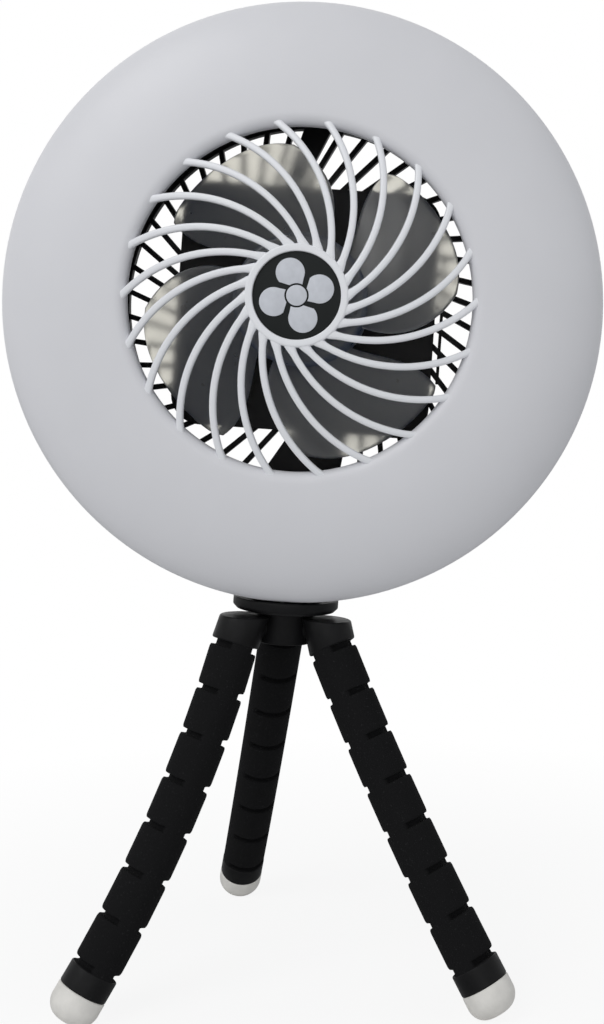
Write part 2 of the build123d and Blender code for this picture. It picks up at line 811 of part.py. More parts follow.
def battery_cover():
    """Rear lid of the pod, with holes for the buttons, the charge light and its screws."""
    lid = extrude(Plane.XY.offset(pod_back) * pod_outline(), pod_cover_thickness)
    lid = fillet(lid.faces().sort_by(Axis.Z)[0].edges(), 1.2)
    for spot in button_places().values():
        lid -= spot * rod(button_radius + button_slide_gap, pod_back - 1, pod_cavity_back + 1)
    lid -= lens_place() * rod(lens_radius + fit_clearance, pod_back - 1, pod_cavity_back + 1)
    for spot in pod_post_places():
        lid -= spot * rod(pod_screw_radius + screw_clearance, pod_back - 1, pod_cavity_back + 1)
        lid -= spot * rod(pod_screw_head_radius + 0.3, pod_back - 1, pod_back + pod_screw_head_height)
    return lid


def pod_screws():
    """The screws of the pod's lid."""
    length = pod_screw_length - 0.5
    one = screw(pod_screw_radius, length, pod_screw_head_radius, pod_screw_head_height)
    return group([spot * Pos(0, 0, pod_back + pod_screw_head_height) * one for spot in pod_post_places()])


def push_button(name):
    """A round push button with the flange that keeps it in the lid and the stem that meets its switch."""
    spot = button_places()[name]
    flange_back = pod_cavity_back + button_slide_gap
    cap = rod(button_radius, pod_back - button_proud, flange_back + button_flange_thickness)
    cap = fillet(cap.edges().sort_by(Axis.Z)[0], 0.6)
    cap += rod(button_flange_radius, flange_back, flange_back + button_flange_thickness)
    stem_end = circuit_back - switch_height - 0.4 - button_travel - button_slide_gap
    return spot * (cap + rod(plunger_radius, flange_back, stem_end))


def indicator_lens():
    """Clear light pipe of the charge light."""
    pipe = rod(lens_radius, pod_back - 0.3, pod_cavity_back + 1)
    flange = rod(lens_flange_radius, pod_cavity_back, pod_cavity_back + 1)
    return lens_place() * (pipe + flange)


# ---------------------------------------------------------------- tripod head, stand frame
def cup_frame(turn):
    """Frame at a leg's first notch, Z up along its cup and X outward."""
    heading = radians(turn + stand_turn)
    tilt = radians(cup_tilt)
    outward = Vector(cos(heading), sin(heading), 0)
    down = outward * sin(tilt) + Vector(0, 0, -cos(tilt))
    origin = outward * first_notch_radius + Vector(0, 0, first_notch_height)
    level = outward * cos(tilt) + Vector(0, 0, sin(tilt))
    return frame(origin, level, down * -1)


def cup_length():
    """From a leg's first notch up to the level where its cup ends."""
    return (cup_top - first_notch_height) / cos(radians(cup_tilt))


def tripod_head():
    """Platform, column and the three arms that carry the leg cups, in one moulding."""
    plate = rod(platform_radius, platform_bottom, platform_top)
    plate = chamfer(plate.edges().sort_by(Axis.Z)[0], platform_chamfer)
    body = plate + rod(column_radius, column_bottom, platform_bottom)
    arm_low = cup_length() - arm_depth
    above = rod(2 * platform_radius, platform_bottom + 1, 0)
    for leg in legs.values():
        body += cup_frame(leg["cup_turn"]) * rod(arm_radius, arm_low, arm_low + 20) - above
    body -= rod(tripod_screw_radius + screw_clearance, column_bottom - 1, platform_top + 1)
    hexagon = RegularPolygon((tripod_screw_flats + 2 * fit_clearance) / 2, 6, major_radius=False)
    pocket = extrude(Plane.XY.offset(column_bottom - 1) * hexagon, tripod_screw_head + 1)
    return body - pocket


def rubber_pad():
    """Soft ring on the platform."""
    return tube(pad_radius, tripod_screw_radius + soft_clearance, platform_top, pad_top)


def tripod_screw():
    """The 1/4 inch screw, pressed into the tripod head from below."""
    shank = rod(tripod_screw_radius, tripod_screw_head_top, platform_top + tripod_screw_reach + pad_thickness)
    hexagon = RegularPolygon(tripod_screw_flats / 2, 6, major_radius=False)
    return shank + extrude(Plane.XY.offset(column_bottom) * hexagon, tripod_screw_head)


def leg_cup(name):
    """The cup at the top of a leg, pushed over its arm, its lower face square to the leg."""
    cup = rod(cup_radius, -cup_radius, cup_length() + cup_radius)
    cup -= rod(arm_radius + fit_clearance, cup_length() - arm_depth - fit_clearance, 3 * cup_radius)
    placed = cup_frame(legs[name]["cup_turn"]) * cup
    placed -= rod(3 * platform_radius, cup_top, 0)
    placed -= rod(column_radius + fit_clearance, column_bottom - 20, 0)
    leg_side = rod(3 * cup_radius, -4 * cup_radius, notch_width / 2)
    leg_side += Rot(90, 0, 0) * rod(knuckle_radius + soft_clearance, -2 * cup_radius, 2 * cup_radius)
    return stand_frame * placed - block_frame(name, 0) * leg_side


# ---------------------------------------------------------------- legs, ground frame
def leg_line(name, top_tilt):
    """Notch points of a leg from the top down, each with the tilt of the block below it."""
    leg = legs[name]
    start = (stand_frame * cup_frame(leg["cup_turn"])).position
    heading = radians(leg["heading"])
    outward = Vector(cos(heading), sin(heading), 0)
    point, tilt, line = start, top_tilt, []
    for _ in range(foam_blocks + 1):
        line.append((point, tilt))
        point = point + (outward * sin(radians(tilt)) - Vector(0, 0, cos(radians(tilt)))) * notch_pitch
        tilt += leg["bend"]
    return line


def tip_reach():
    """From a leg's last notch to the end of its foot."""
    return notch_width / 2 + end_cap_length + foot_length


def foot_height(name, top_tilt):
    """Height of the lowest point of a leg's round foot, before the ground flattens it."""
    point, tilt = leg_line(name, top_tilt)[-1]
    tilt = radians(tilt)
    corner = point.Z - (tip_reach() - foot_corner) * cos(tilt) - (foot_radius - foot_corner) * sin(tilt)
    return corner - foot_corner


def standing_tilt(name):
    """The tilt of a leg's top block that puts its foot on the ground."""
    low, high = 0.0, 60.0
    for _ in range(50):
        middle = (low + high) / 2
        if foot_height(name, middle) < -foot_squash:
            low = middle
        else:
            high = middle
    return (low + high) / 2


leg_lines = {name: leg_line(name, standing_tilt(name)) for name in legs}


def block_frame(name, number):
    """Frame at a leg's notch, Z up along the block below the notch and X outward."""
    point, tilt = leg_lines[name][number]
    heading, tilt = radians(legs[name]["heading"]), radians(tilt)
    outward = Vector(cos(heading), sin(heading), 0)
    down = outward * sin(tilt) - Vector(0, 0, cos(tilt))
    level = outward * cos(tilt) + Vector(0, 0, sin(tilt))
    return frame(point, level, down * -1)


def knuckle(radius, skin):
    """Round bar along a notch's hinge line, no wider than the leg."""
    return Rot(90, 0, 0) * rod(radius, -skin, skin) & rod(skin, -2 * skin, 2 * skin)


def wire_bore(low, high):
    """The hole that the core wire runs in."""
    return rod(wire_radius + soft_clearance, low, high)


def foam_block(name, number):
    """One block of foam between two notches: round knuckle above, hollow for the next knuckle below."""
    top, bottom = -notch_width / 2, notch_width / 2 - notch_pitch
    body = rod(foam_radius, bottom, top) + knuckle(knuckle_radius, foam_radius)
    body -= Pos(0, 0, -notch_pitch) * Rot(90, 0, 0) * rod(
        knuckle_radius + soft_clearance, -2 * foam_radius, 2 * foam_radius
    )
    body -= wire_bore(-2 * notch_pitch, notch_pitch)
    return block_frame(name, number) * body


def arc_point(name, place):
    """A point of the core wire, place counted in notches from the top one."""
    bend = radians(legs[name]["bend"])
    start, tilt = leg_lines[name][0]
    heading = radians(legs[name]["heading"])
    outward = Vector(cos(heading), sin(heading), 0)
    radius = notch_pitch / (2 * sin(bend / 2))
    first = radians(tilt) - bend / 2
    here = first + place * bend
    out, down = radius * (cos(first) - cos(here)), radius * (sin(here) - sin(first))
    return start + outward * out - Vector(0, 0, down)


def core_wire(name, radius=wire_radius):
    """The stiff wire that a leg is bent by, from its cup to its end cap."""
    grip = wire_grip / notch_pitch
    places = (-grip, foam_blocks / 2, foam_blocks + grip)
    path = ThreePointArc(*[arc_point(name, place) for place in places])
    return sweep(Plane(origin=path @ 0, z_dir=path % 0) * Circle(radius), path)


def leg_end_cap(name):
    """Plastic cap on the last block, with a peg for the foot."""
    low = -notch_width / 2 - end_cap_length
    body = rod(end_cap_radius, low, -notch_width / 2) + knuckle(knuckle_radius, end_cap_radius)
    body += rod(peg_radius, low - peg_length, low)
    body -= wire_bore(-wire_grip - 0.5, notch_pitch)
    return block_frame(name, foam_blocks) * body


def leg_foot(name):
    """Soft foot on the end cap's peg, flattened where it stands."""
    top = -notch_width / 2 - end_cap_length
    body = rod(foot_radius, top - foot_length, top)
    body = fillet(body.edges().sort_by(Axis.Z)[0], foot_corner)
    body -= rod(peg_radius + fit_clearance, top - peg_length - fit_clearance, top + 1)
    placed = block_frame(name, foam_blocks) * Rot(0, 0, 180) * body
    ground = Box(4 * ring_radius, 4 * ring_radius, 50, align=(Align.CENTER, Align.CENTER, Align.MAX))
    return placed - ground


# ---------------------------------------------------------------- the whole fan
def fan_pieces():
    """Every piece of the head, in the fan frame."""
    return {
        "front_cover": front_cover(),
        "hub_badge": hub_badge(),
        "badge_emblem": badge_emblem(),
        "rear_shell": rear_shell(),
        "pod_housing": pod_housing(),
        "thread_insert": thread_insert(),
        "case_screws": case_screws(),
        "light_tray": light_tray(),
        "led_board": led_board(),
        "led_chips": led_chips(),
        "impeller": impeller(),
        "motor_can": motor_can(),
        "motor_end_cap": motor_end_cap(),
        "motor_rotor": motor_rotor(),
        "motor_screws": motor_screws(),
        "battery_cells": battery_cells(),
        "cell_cradle": cell_cradle(),
        "control_board": control_board(),
        "charging_socket": charging_socket(),
        "battery_cover": battery_cover(),
        "pod_screws": pod_screws(),
        "fan_button": push_button("fan"),
        "light_button": push_button("light"),
        "indicator_lens": indicator_lens(),
    }


def stand_pieces():
    """The tripod head's own pieces, in the stand frame."""
    return {"tripod_head": tripod_head(), "rubber_pad": rubber_pad(), "tripod_screw": tripod_screw()}


def leg_pieces(name):
    """Every piece of one leg, in the ground frame."""
    pieces = {f"{name}_leg_cup": leg_cup(name) - core_wire(name, wire_radius + fit_clearance)}
    for number in range(foam_blocks):
        pieces[f"{name}_foam_{number + 1}"] = foam_block(name, number)
    pieces[f"{name}_core_wire"] = core_wire(name)
    pieces[f"{name}_end_cap"] = leg_end_cap(name)
    pieces[f"{name}_foot"] = leg_foot(name)
    return pieces


def all_pieces():
    """Every node of the fan, standing on the ground with the tripod screw at the origin."""
    pieces = {node: fan_frame * piece for node, piece in fan_pieces().items()}
    pieces.update({node: stand_frame * piece for node, piece in stand_pieces().items()})
    for name in legs:
        pieces.update(leg_pieces(name))
    return pieces


def centring(pieces):
    """The move that puts the origin under the middle of the whole fan, front to rear."""
    boxes = [piece.bounding_box() for piece in pieces.values()]
    front, rear = min(b.min.Y for b in boxes), max(b.max.Y for b in boxes)
    return Pos(0, -(front + rear) / 2, 0)


os.makedirs("parts", exist_ok=True)
nodes = all_pieces()
to_origin = centring(nodes)
for node, piece in nodes.items():
    export_step(to_origin * piece, f"parts/{node}.step")
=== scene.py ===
"""Portable camping fan with a ring light on a bendable tripod: the visible model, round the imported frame.

Shapes are drawn in millimetres in a frame of their own and are placed in the row frame in metres. Three such
frames are used. The fan's has X to the right, Y up and Z forward out of the grille. The stand's has X to the
right, Y to the rear and Z up along the tripod screw. Each notch of a leg has its own, with Z up along the leg
and X outward.
"""

from __future__ import annotations

import json
import logging
import math
from dataclasses import dataclass
from enum import Enum
from typing import Callable, Iterable, Sequence

import bmesh
import bpy
from mathutils import Matrix, Vector

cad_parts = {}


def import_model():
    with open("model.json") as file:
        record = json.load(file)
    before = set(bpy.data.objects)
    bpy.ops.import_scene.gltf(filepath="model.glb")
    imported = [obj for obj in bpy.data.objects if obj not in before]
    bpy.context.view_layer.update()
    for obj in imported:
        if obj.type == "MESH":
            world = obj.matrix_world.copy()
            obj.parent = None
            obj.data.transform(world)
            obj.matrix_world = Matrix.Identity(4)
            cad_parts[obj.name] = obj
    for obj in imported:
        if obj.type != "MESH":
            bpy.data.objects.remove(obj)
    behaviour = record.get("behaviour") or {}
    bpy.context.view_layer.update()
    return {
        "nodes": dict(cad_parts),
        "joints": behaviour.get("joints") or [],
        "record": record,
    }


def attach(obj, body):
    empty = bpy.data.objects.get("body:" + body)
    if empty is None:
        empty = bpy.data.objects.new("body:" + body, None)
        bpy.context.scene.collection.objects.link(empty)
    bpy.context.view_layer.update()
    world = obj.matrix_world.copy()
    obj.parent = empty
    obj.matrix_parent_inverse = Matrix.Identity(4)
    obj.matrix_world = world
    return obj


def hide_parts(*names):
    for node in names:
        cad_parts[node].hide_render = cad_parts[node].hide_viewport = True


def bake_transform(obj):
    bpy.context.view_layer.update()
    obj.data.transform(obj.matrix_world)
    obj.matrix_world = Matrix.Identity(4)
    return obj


LOG = logging.getLogger("camping_fan")
MM = 0.001
STAND_TURN_DEG = 7.4
UNSTRETCHED = (1.0, 1.0, 1.0)
CLOUD_SPAN = (0.3, 0.7)
RING_STEPS = 192
WHEEL_STEPS = 96
TUBE_STEPS = 72
ON_AXIS_MM = 1e-5


# ------------------------------------------------------------------------------------ shader maths
class Wire:
    """A shader socket that can be used in Python expressions; each operator adds one Math node."""

    def __init__(self, paint: Paint, socket: bpy.types.NodeSocket) -> None:
        """Wraps a socket of a material under work."""
        self.paint = paint
        self.socket = socket

    def _math(self, operation: str, first: Value, second: Value) -> Wire:
        """Adds one Math node.

        Args:
            operation: the Math node's operation.
            first: its first value or link.
            second: its second value or link.

        Returns:
            The node's result.
        """
        node = self.paint.node("ShaderNodeMath", {"operation": operation}, {0: first, 1: second})
        return Wire(self.paint, node.outputs[0])

    def __add__(self, other: Value) -> Wire:
        """Sum."""
        return self._math("ADD", self, other)

    __radd__ = __add__

    def __mul__(self, other: Value) -> Wire:
        """Product."""
        return self._math("MULTIPLY", self, other)

    __rmul__ = __mul__

    def above(self, level: float) -> Wire:
        """One where the value is over a level, else nought."""
        return self._math("GREATER_THAN", self, level)


Value = float | tuple | Wire


class Paint:
    """The node tree of one material, with its Principled shader."""

    def __init__(self, name: str) -> None:
        """Makes the material with its shader and output.

        Args:
            name: the material's name.
        """
        self.material = bpy.data.materials.new(name)
        self.material.use_nodes = True
        self.tree = self.material.node_tree
        self.tree.nodes.clear()
        self.shader = self.node("ShaderNodeBsdfPrincipled")
        self.output = self.node("ShaderNodeOutputMaterial", inputs={"Surface": self.shader.outputs[0]})

    def node(self, kind: str, settings: dict | None = None, inputs: dict | None = None) -> bpy.types.Node:
        """Adds a node.

        Args:
            kind: the node's type.
            settings: attributes of the node, which are set first.
            inputs: values or links by socket name or number.

        Returns:
            The new node.
        """
        made = self.tree.nodes.new(kind)
        for name, value in (settings or {}).items():
            setattr(made, name, value)
        for name, value in (inputs or {}).items():
            self.feed(made.inputs[name], value)
        return made

    def feed(self, socket: bpy.types.NodeSocket, value: Value) -> None:
        """Sets a socket's value or links it.

        Args:
            socket: the input.
            value: a number, a colour, or the output that feeds it.
        """
        if isinstance(value, Wire):
            self.tree.links.new(value.socket, socket)
        elif isinstance(value, bpy.types.NodeSocket):
            self.tree.links.new(value, socket)
        elif isinstance(value, tuple) and len(value) == 3 and socket.type == "RGBA":
            socket.default_value = (*value, 1.0)
        else:
            socket.default_value = value

    def mapped(self, vector: Value, scale: tuple[float, float, float]) -> Wire:
        """Coordinates that are scaled along the three axes."""
        mapping = self.node("ShaderNodeMapping", inputs={"Vector": vector, "Scale": scale})
        return Wire(self, mapping.outputs[0])

    def place(self) -> Wire:
        """Object coordinates in millimetres."""
        return self.mapped(self.node("ShaderNodeTexCoord").outputs["Object"], (1 / MM,) * 3)

    def noise(self, size_mm: float, detail: float = 2.0, stretch: tuple = UNSTRETCHED) -> Wire:
        """Fractal noise.

        Args:
            size_mm: about how large its features are.
            detail: how many finer layers it has.
            stretch: what the coordinates are multiplied by along each axis.

        Returns:
            The noise, from nought to one.
        """
        place = self.place()
        if stretch != UNSTRETCHED:
            place = self.mapped(place, stretch)
        inputs = {"Vector": place, "Scale": 1.0 / size_mm, "Detail": detail}
        return Wire(self, self.node("ShaderNodeTexNoise", inputs=inputs).outputs[0])

    def cells(self, size_mm: float) -> Wire:
        """Distance to the nearest point of a scatter whose points are about a size apart, for pits."""
        made = self.node("ShaderNodeTexVoronoi", inputs={"Vector": self.place(), "Scale": 1.0 / size_mm})
        return Wire(self, made.outputs["Distance"])

    def blend(self, share: Value, first: Value, second: Value) -> Wire:
        """Mixes two colours.

        Args:
            share: how much of the second one shows.
            first: the colour at nought.
            second: the colour at one.

        Returns:
            The mixed colour.
        """
        made = self.node("ShaderNodeMix", {"data_type": "RGBA"})
        self.feed(made.inputs[0], share)
        self.feed(made.inputs[6], first)
        self.feed(made.inputs[7], second)
        return Wire(self, made.outputs[2])

    def span(self, value: Wire, low: float, high: float, out_low: float = 0.0, out_high: float = 1.0) -> Wire:
        """Maps a range to another and clamps it.

        Args:
            value: what is mapped.
            low: the start of its range.
            high: the end of its range.
            out_low: the result at the start.
            out_high: the result at the end.

        Returns:
            The mapped value.
        """
        inputs = {0: value, 1: low, 2: high, 3: out_low, 4: out_high}
        return Wire(self, self.node("ShaderNodeMapRange", {"clamp": True}, inputs).outputs[0])

    def bump(self, height: Wire, depth_mm: float, strength: float = 1.0, edge_mm: float = 0.0) -> None:
        """Feeds the shader's normal with a bump.

        Args:
            height: the relief, from nought to one.
            depth_mm: how deep it is.
            strength: how much of it shows.
            edge_mm: the radius that sharp edges are shaded with; nought leaves them sharp.
        """
        inputs = {"Height": height, "Distance": depth_mm * MM, "Strength": strength}
        if edge_mm > 0.0:
            bevel = self.node("ShaderNodeBevel", {"samples": 6}, {"Radius": edge_mm * MM})
            inputs["Normal"] = bevel.outputs[0]
        self.feed(self.shader.inputs["Normal"], self.node("ShaderNodeBump", inputs=inputs).outputs[0])


# ------------------------------------------------------------------------------------ finishes
@dataclass(frozen=True)
class Finish:
    """A moulded or machined surface: colour with a slight mottle, uneven gloss and a fine grain."""

    name: str
    colour: tuple[float, float, float]
    roughness: float = 0.5
    metallic: float = 0.0
    mottle: float = 0.12
    mottle_mm: float = 18.0
    gloss_spread: float = 0.08
    grain_mm: float = 0.5
    grain_depth_mm: float = 0.01
    coat: float = 0.0
    specular: float = 0.5
    edge_mm: float = 0.0
    # glow: painted light, a faint light of the surface's own colour given off though it is no lamp
    glow: float = 0.0
    stretch: tuple[float, float, float] = UNSTRETCHED
    gloss_scale: float = 0.4

    @property
    def label(self) -> str:
        """The material's name, which differs from the plain one that comes with the frame."""
        return f"{self.name}_finish"

    def material(self) -> bpy.types.Material:
        """The finish as a material, made once."""
        found = bpy.data.materials.get(self.label)
        return found if found else self.paint()

    def paint(self) -> bpy.types.Material:
        """Builds the node tree."""
        paint = Paint(self.label)
        cloud = paint.noise(self.mottle_mm, 3.0)
        dark = tuple(c * (1.0 - self.mottle) for c in self.colour)
        light = tuple(min(1.0, c * (1.0 + self.mottle)) for c in self.colour)
        colour = paint.blend(paint.span(cloud, *CLOUD_SPAN), dark, light)
        paint.feed(paint.shader.inputs["Base Color"], colour)
        grain = paint.noise(self.grain_mm, 2.0, self.stretch)
        low, high = self.roughness - self.gloss_spread, self.roughness + self.gloss_spread
        rough = paint.span(paint.noise(self.mottle_mm * self.gloss_scale, 4.0), *CLOUD_SPAN, low, high)
        paint.feed(paint.shader.inputs["Roughness"], rough)
        paint.shader.inputs["Metallic"].default_value = self.metallic
        paint.shader.inputs["Coat Weight"].default_value = self.coat
        paint.shader.inputs["Specular IOR Level"].default_value = self.specular
        # Painted glow: the surface gives off light of its own colour.
        if self.glow > 0.0:
            paint.shader.inputs["Emission Color"].default_value = (*self.colour, 1.0)
            paint.shader.inputs["Emission Strength"].default_value = self.glow
        paint.bump(grain, self.grain_depth_mm, edge_mm=self.edge_mm)
        self.extra(paint)
        return paint.material

    def extra(self, paint: Paint) -> None:
        """What a special finish adds."""


@dataclass(frozen=True)
class SmokedPlastic(Finish):
    """Tinted clear plastic that blurs what stands behind it."""

    clearness: float = 0.98
    refraction: float = 1.45
    # Colour of a painted glow that stands in for light scattered in the plastic.
    painted_scatter_glow: tuple[float, float, float] = (0.0, 0.0, 0.0)

    def extra(self, paint: Paint) -> None:
        """Lets light through the body of the plastic, and paints on a faint glow that stands in for the
        little light that the plastic scatters.

        Args:
            paint: the material under work.
        """
        paint.shader.inputs["Transmission Weight"].default_value = self.clearness
        paint.shader.inputs["IOR"].default_value = self.refraction
        # Painted glow: the plastic gives off a faint light of its own.
        paint.shader.inputs["Emission Color"].default_value = (*self.painted_scatter_glow, 1.0)
        paint.shader.inputs["Emission Strength"].default_value = 1.0


@dataclass(frozen=True)
class FoamSkin(Finish):
    """Dull foam with a fine open grain and a little lint."""

    pit_mm: float = 0.55
    pit_edge: float = 0.55
    lump_mm: float = 1.6
    relief_mm: float = 0.12
    lint_mm: float = 0.9
    lint_level: float = 0.66
    lint_paleness: float = 3.0
    lint_share: float = 0.5
    pit_share: float = 0.7
    lump_share: float = 0.6
    relief_strength: float = 0.8

    def extra(self, paint: Paint) -> None:
        """Lays pits and soft lumps over the grain and pale lint over the colour.

        Args:
            paint: the material under work.
        """
        pits = paint.span(paint.cells(self.pit_mm), 0.0, self.pit_edge)
        lumps = paint.noise(self.lump_mm, 4.0)
        relief = pits * self.pit_share + lumps * self.lump_share
        paint.bump(relief, self.relief_mm, self.relief_strength)
        lint = paint.noise(self.lint_mm, 6.0).above(self.lint_level)
        pale = tuple(c * self.lint_paleness for c in self.colour)
        paint.feed(paint.shader.inputs["Base Color"], paint.blend(lint * self.lint_share, self.colour, pale))


@dataclass(frozen=True)
class CircuitMask(Finish):
    """Solder mask with the faint relief of its tracks."""

    track_mm: float = 3.0
    track_edge: tuple[float, float] = (0.30, 0.34)
    relief_mm: float = 0.04
    track_wander: float = 0.35
    track_share: float = 0.35
    track_gain: float = 1.6
    track_lift: float = 0.01

    def extra(self, paint: Paint) -> None:
        """Adds straight tracks under the mask.

        Args:
            paint: the material under work.
        """
        squares = paint.node(
            "ShaderNodeTexVoronoi",
            {"distance": "CHEBYCHEV"},
            {"Vector": paint.place(), "Scale": 1.0 / self.track_mm, "Randomness": self.track_wander},
        )
        line = paint.span(Wire(paint, squares.outputs["Distance"]), *self.track_edge)
        pale = tuple(min(1.0, c * self.track_gain + self.track_lift) for c in self.colour)
        paint.feed(paint.shader.inputs["Base Color"], paint.blend(line * self.track_share, self.colour, pale))
        paint.bump(line, self.relief_mm)


@dataclass(frozen=True)
class FloorWhite(Finish):
    """Matt white that keeps the fan's shadow near it and runs into the white backdrop further out."""

    near_mm: float = 80.0
    far_mm: float = 380.0
    near_white: float = 0.88

    def paint(self) -> bpy.types.Material:
        """Builds the node tree: the matt surface, and over it a plain white that only the camera sees."""
        paint = Paint(self.label)
        paint.shader.inputs["Base Color"].default_value = (*self.colour, 1.0)
        paint.shader.inputs["Roughness"].default_value = self.roughness
        paint.shader.inputs["Specular IOR Level"].default_value = self.specular
        glow = paint.node("ShaderNodeEmission", inputs={"Color": (1.0, 1.0, 1.0), "Strength": 1.0})
        length = paint.node("ShaderNodeVectorMath", {"operation": "LENGTH"}, {0: paint.place()})
        distance = Wire(paint, length.outputs["Value"])
        far = paint.span(distance, self.near_mm, self.far_mm, self.near_white, 1.0)
        path = paint.node("ShaderNodeLightPath")
        white = far * Wire(paint, path.outputs["Is Camera Ray"])
        inputs = {0: white, 1: paint.shader.outputs[0], 2: glow.outputs[0]}
        mixed = paint.node("ShaderNodeMixShader", inputs=inputs)
        paint.feed(paint.output.inputs["Surface"], mixed.outputs[0])
        return paint.material


FROSTED = Finish("frosted_white", (0.72, 0.72, 0.75), 0.45, mottle=0.015, mottle_mm=40, gloss_spread=0.03,
                 grain_mm=0.35, grain_depth_mm=0.004)
# The ribs give off a faint painted glow, so that they read brighter than the ring as if they caught more
# light.
RIB_WHITE = Finish("rib_white", (0.80, 0.81, 0.84), 0.36, mottle=0.01, mottle_mm=30, gloss_spread=0.03,
                   grain_mm=0.35, grain_depth_mm=0.003, glow=0.04)
BADGE_BLACK = Finish("badge_black", (0.016, 0.018, 0.018), 0.4, mottle=0.1, gloss_spread=0.05,
                     grain_depth_mm=0.002, specular=0.08)
EMBLEM_SILVER = Finish("emblem_silver", (0.60, 0.62, 0.67), 0.45, mottle=0.05, mottle_mm=3, gloss_spread=0.06,
                       grain_mm=0.4, grain_depth_mm=0.01)
# The blades give off a faint painted bluish glow.
SMOKE = SmokedPlastic("smoked_clear", (0.74, 0.72, 0.64), 0.3, mottle=0.03, mottle_mm=25, gloss_spread=0.03,
                      grain_mm=2.0, grain_depth_mm=0.004, specular=0.15, painted_scatter_glow=(0.001, 0.002, 0.005))
SHELL_BLACK = Finish("shell_black", (0.010, 0.010, 0.011), 0.5, mottle=0.15, gloss_spread=0.07, grain_mm=0.25,
                     grain_depth_mm=0.02, specular=0.12, edge_mm=0.7)
TRIPOD_BLACK = Finish("tripod_black", (0.008, 0.008, 0.0085), 0.42, mottle=0.2, mottle_mm=9,
                      gloss_spread=0.08, grain_mm=0.6, grain_depth_mm=0.012, specular=0.1)
FOAM = FoamSkin("foam_black", (0.010, 0.010, 0.0105), 0.95, mottle=0.2, mottle_mm=6, gloss_spread=0.03,
                specular=0.06)
FOOT_WHITE = Finish("foot_white", (0.82, 0.80, 0.76), 0.6, mottle=0.06, mottle_mm=5, gloss_spread=0.06,
                    grain_mm=0.5, grain_depth_mm=0.02)
PAD_RUBBER = Finish("pad_rubber", (0.02, 0.02, 0.02), 0.8, mottle=0.2, grain_depth_mm=0.03, edge_mm=0.3)
BRIGHT_STEEL = Finish("bright_steel", (0.58, 0.58, 0.59), 0.3, 1.0, mottle=0.06, grain_mm=0.4,
                      grain_depth_mm=0.006, stretch=(1.0, 1.0, 0.05), edge_mm=0.3)
DARK_STEEL = Finish("dark_steel", (0.16, 0.16, 0.165), 0.38, 1.0, mottle=0.1, grain_depth_mm=0.008,
                    edge_mm=0.25)
MOTOR_STEEL = Finish("motor_steel", (0.5, 0.5, 0.51), 0.34, 1.0, mottle=0.05, grain_depth_mm=0.006,
                     edge_mm=0.3)
BRASS = Finish("insert_brass", (0.62, 0.42, 0.16), 0.32, 1.0, mottle=0.08, grain_depth_mm=0.008, edge_mm=0.3)
TRAY_WHITE = Finish("tray_white", (0.8, 0.8, 0.78), 0.5, mottle=0.03, grain_depth_mm=0.01, edge_mm=0.4)
BOARD_WHITE = CircuitMask("light_board_white", (0.76, 0.78, 0.77), 0.45, mottle=0.03)
BOARD_GREEN = CircuitMask("circuit_green", (0.015, 0.14, 0.05), 0.4)
LED_YELLOW = Finish("led_yellow", (0.8, 0.66, 0.2), 0.2, mottle=0.08, mottle_mm=2, coat=0.5,
                    grain_depth_mm=0.004)
CELL_BLUE = Finish("cell_blue", (0.03, 0.13, 0.34), 0.25, mottle=0.06, coat=0.3, grain_mm=3,
                   grain_depth_mm=0.03, edge_mm=0.5)
INNER_BLACK = Finish("inner_black", (0.02, 0.02, 0.02), 0.6, mottle=0.15, grain_depth_mm=0.02, edge_mm=0.4)
BUTTON_GREY = Finish("button_grey", (0.07, 0.07, 0.075), 0.7, mottle=0.08, gloss_spread=0.05,
                     grain_depth_mm=0.02, edge_mm=0.6)
INLET_STEEL = Finish("inlet_steel", (0.62, 0.62, 0.63), 0.2, 1.0, mottle=0.04, grain_depth_mm=0.004,
                     edge_mm=0.2)
LENS_CLEAR = SmokedPlastic("lens_clear", (0.85, 0.9, 0.9), 0.15, mottle=0.03, grain_depth_mm=0.002)
FLOOR = FloorWhite("floor_white", (0.8, 0.8, 0.8), 1.0, specular=0.0)

CAD_FINISHES: dict[str, Finish] = {
    "badge_black": BADGE_BLACK,
    "button_grey": BUTTON_GREY,
    "cell_blue": CELL_BLUE,
    "circuit_green": BOARD_GREEN,
    "cradle_black": INNER_BLACK,
    "emblem_silver": EMBLEM_SILVER,
    "foam_black": FOAM,
    "foot_white": FOOT_WHITE,
    "frosted_white": FROSTED,
    "impeller_smoke": SMOKE,
    "inlet_steel": INLET_STEEL,
    "insert_brass": BRASS,
    "led_yellow": LED_YELLOW,
    "lens_clear": LENS_CLEAR,
    "light_board_white": BOARD_WHITE,
    "motor_cap_black": INNER_BLACK,
    "motor_steel": MOTOR_STEEL,
    "pad_rubber": PAD_RUBBER,
    "screw_bright": BRIGHT_STEEL,
    "screw_steel": DARK_STEEL,
    "shell_black": SHELL_BLACK,
    "tray_white": TRAY_WHITE,
    "tripod_black": TRIPOD_BLACK,
    "wire_steel": BRIGHT_STEEL,
}


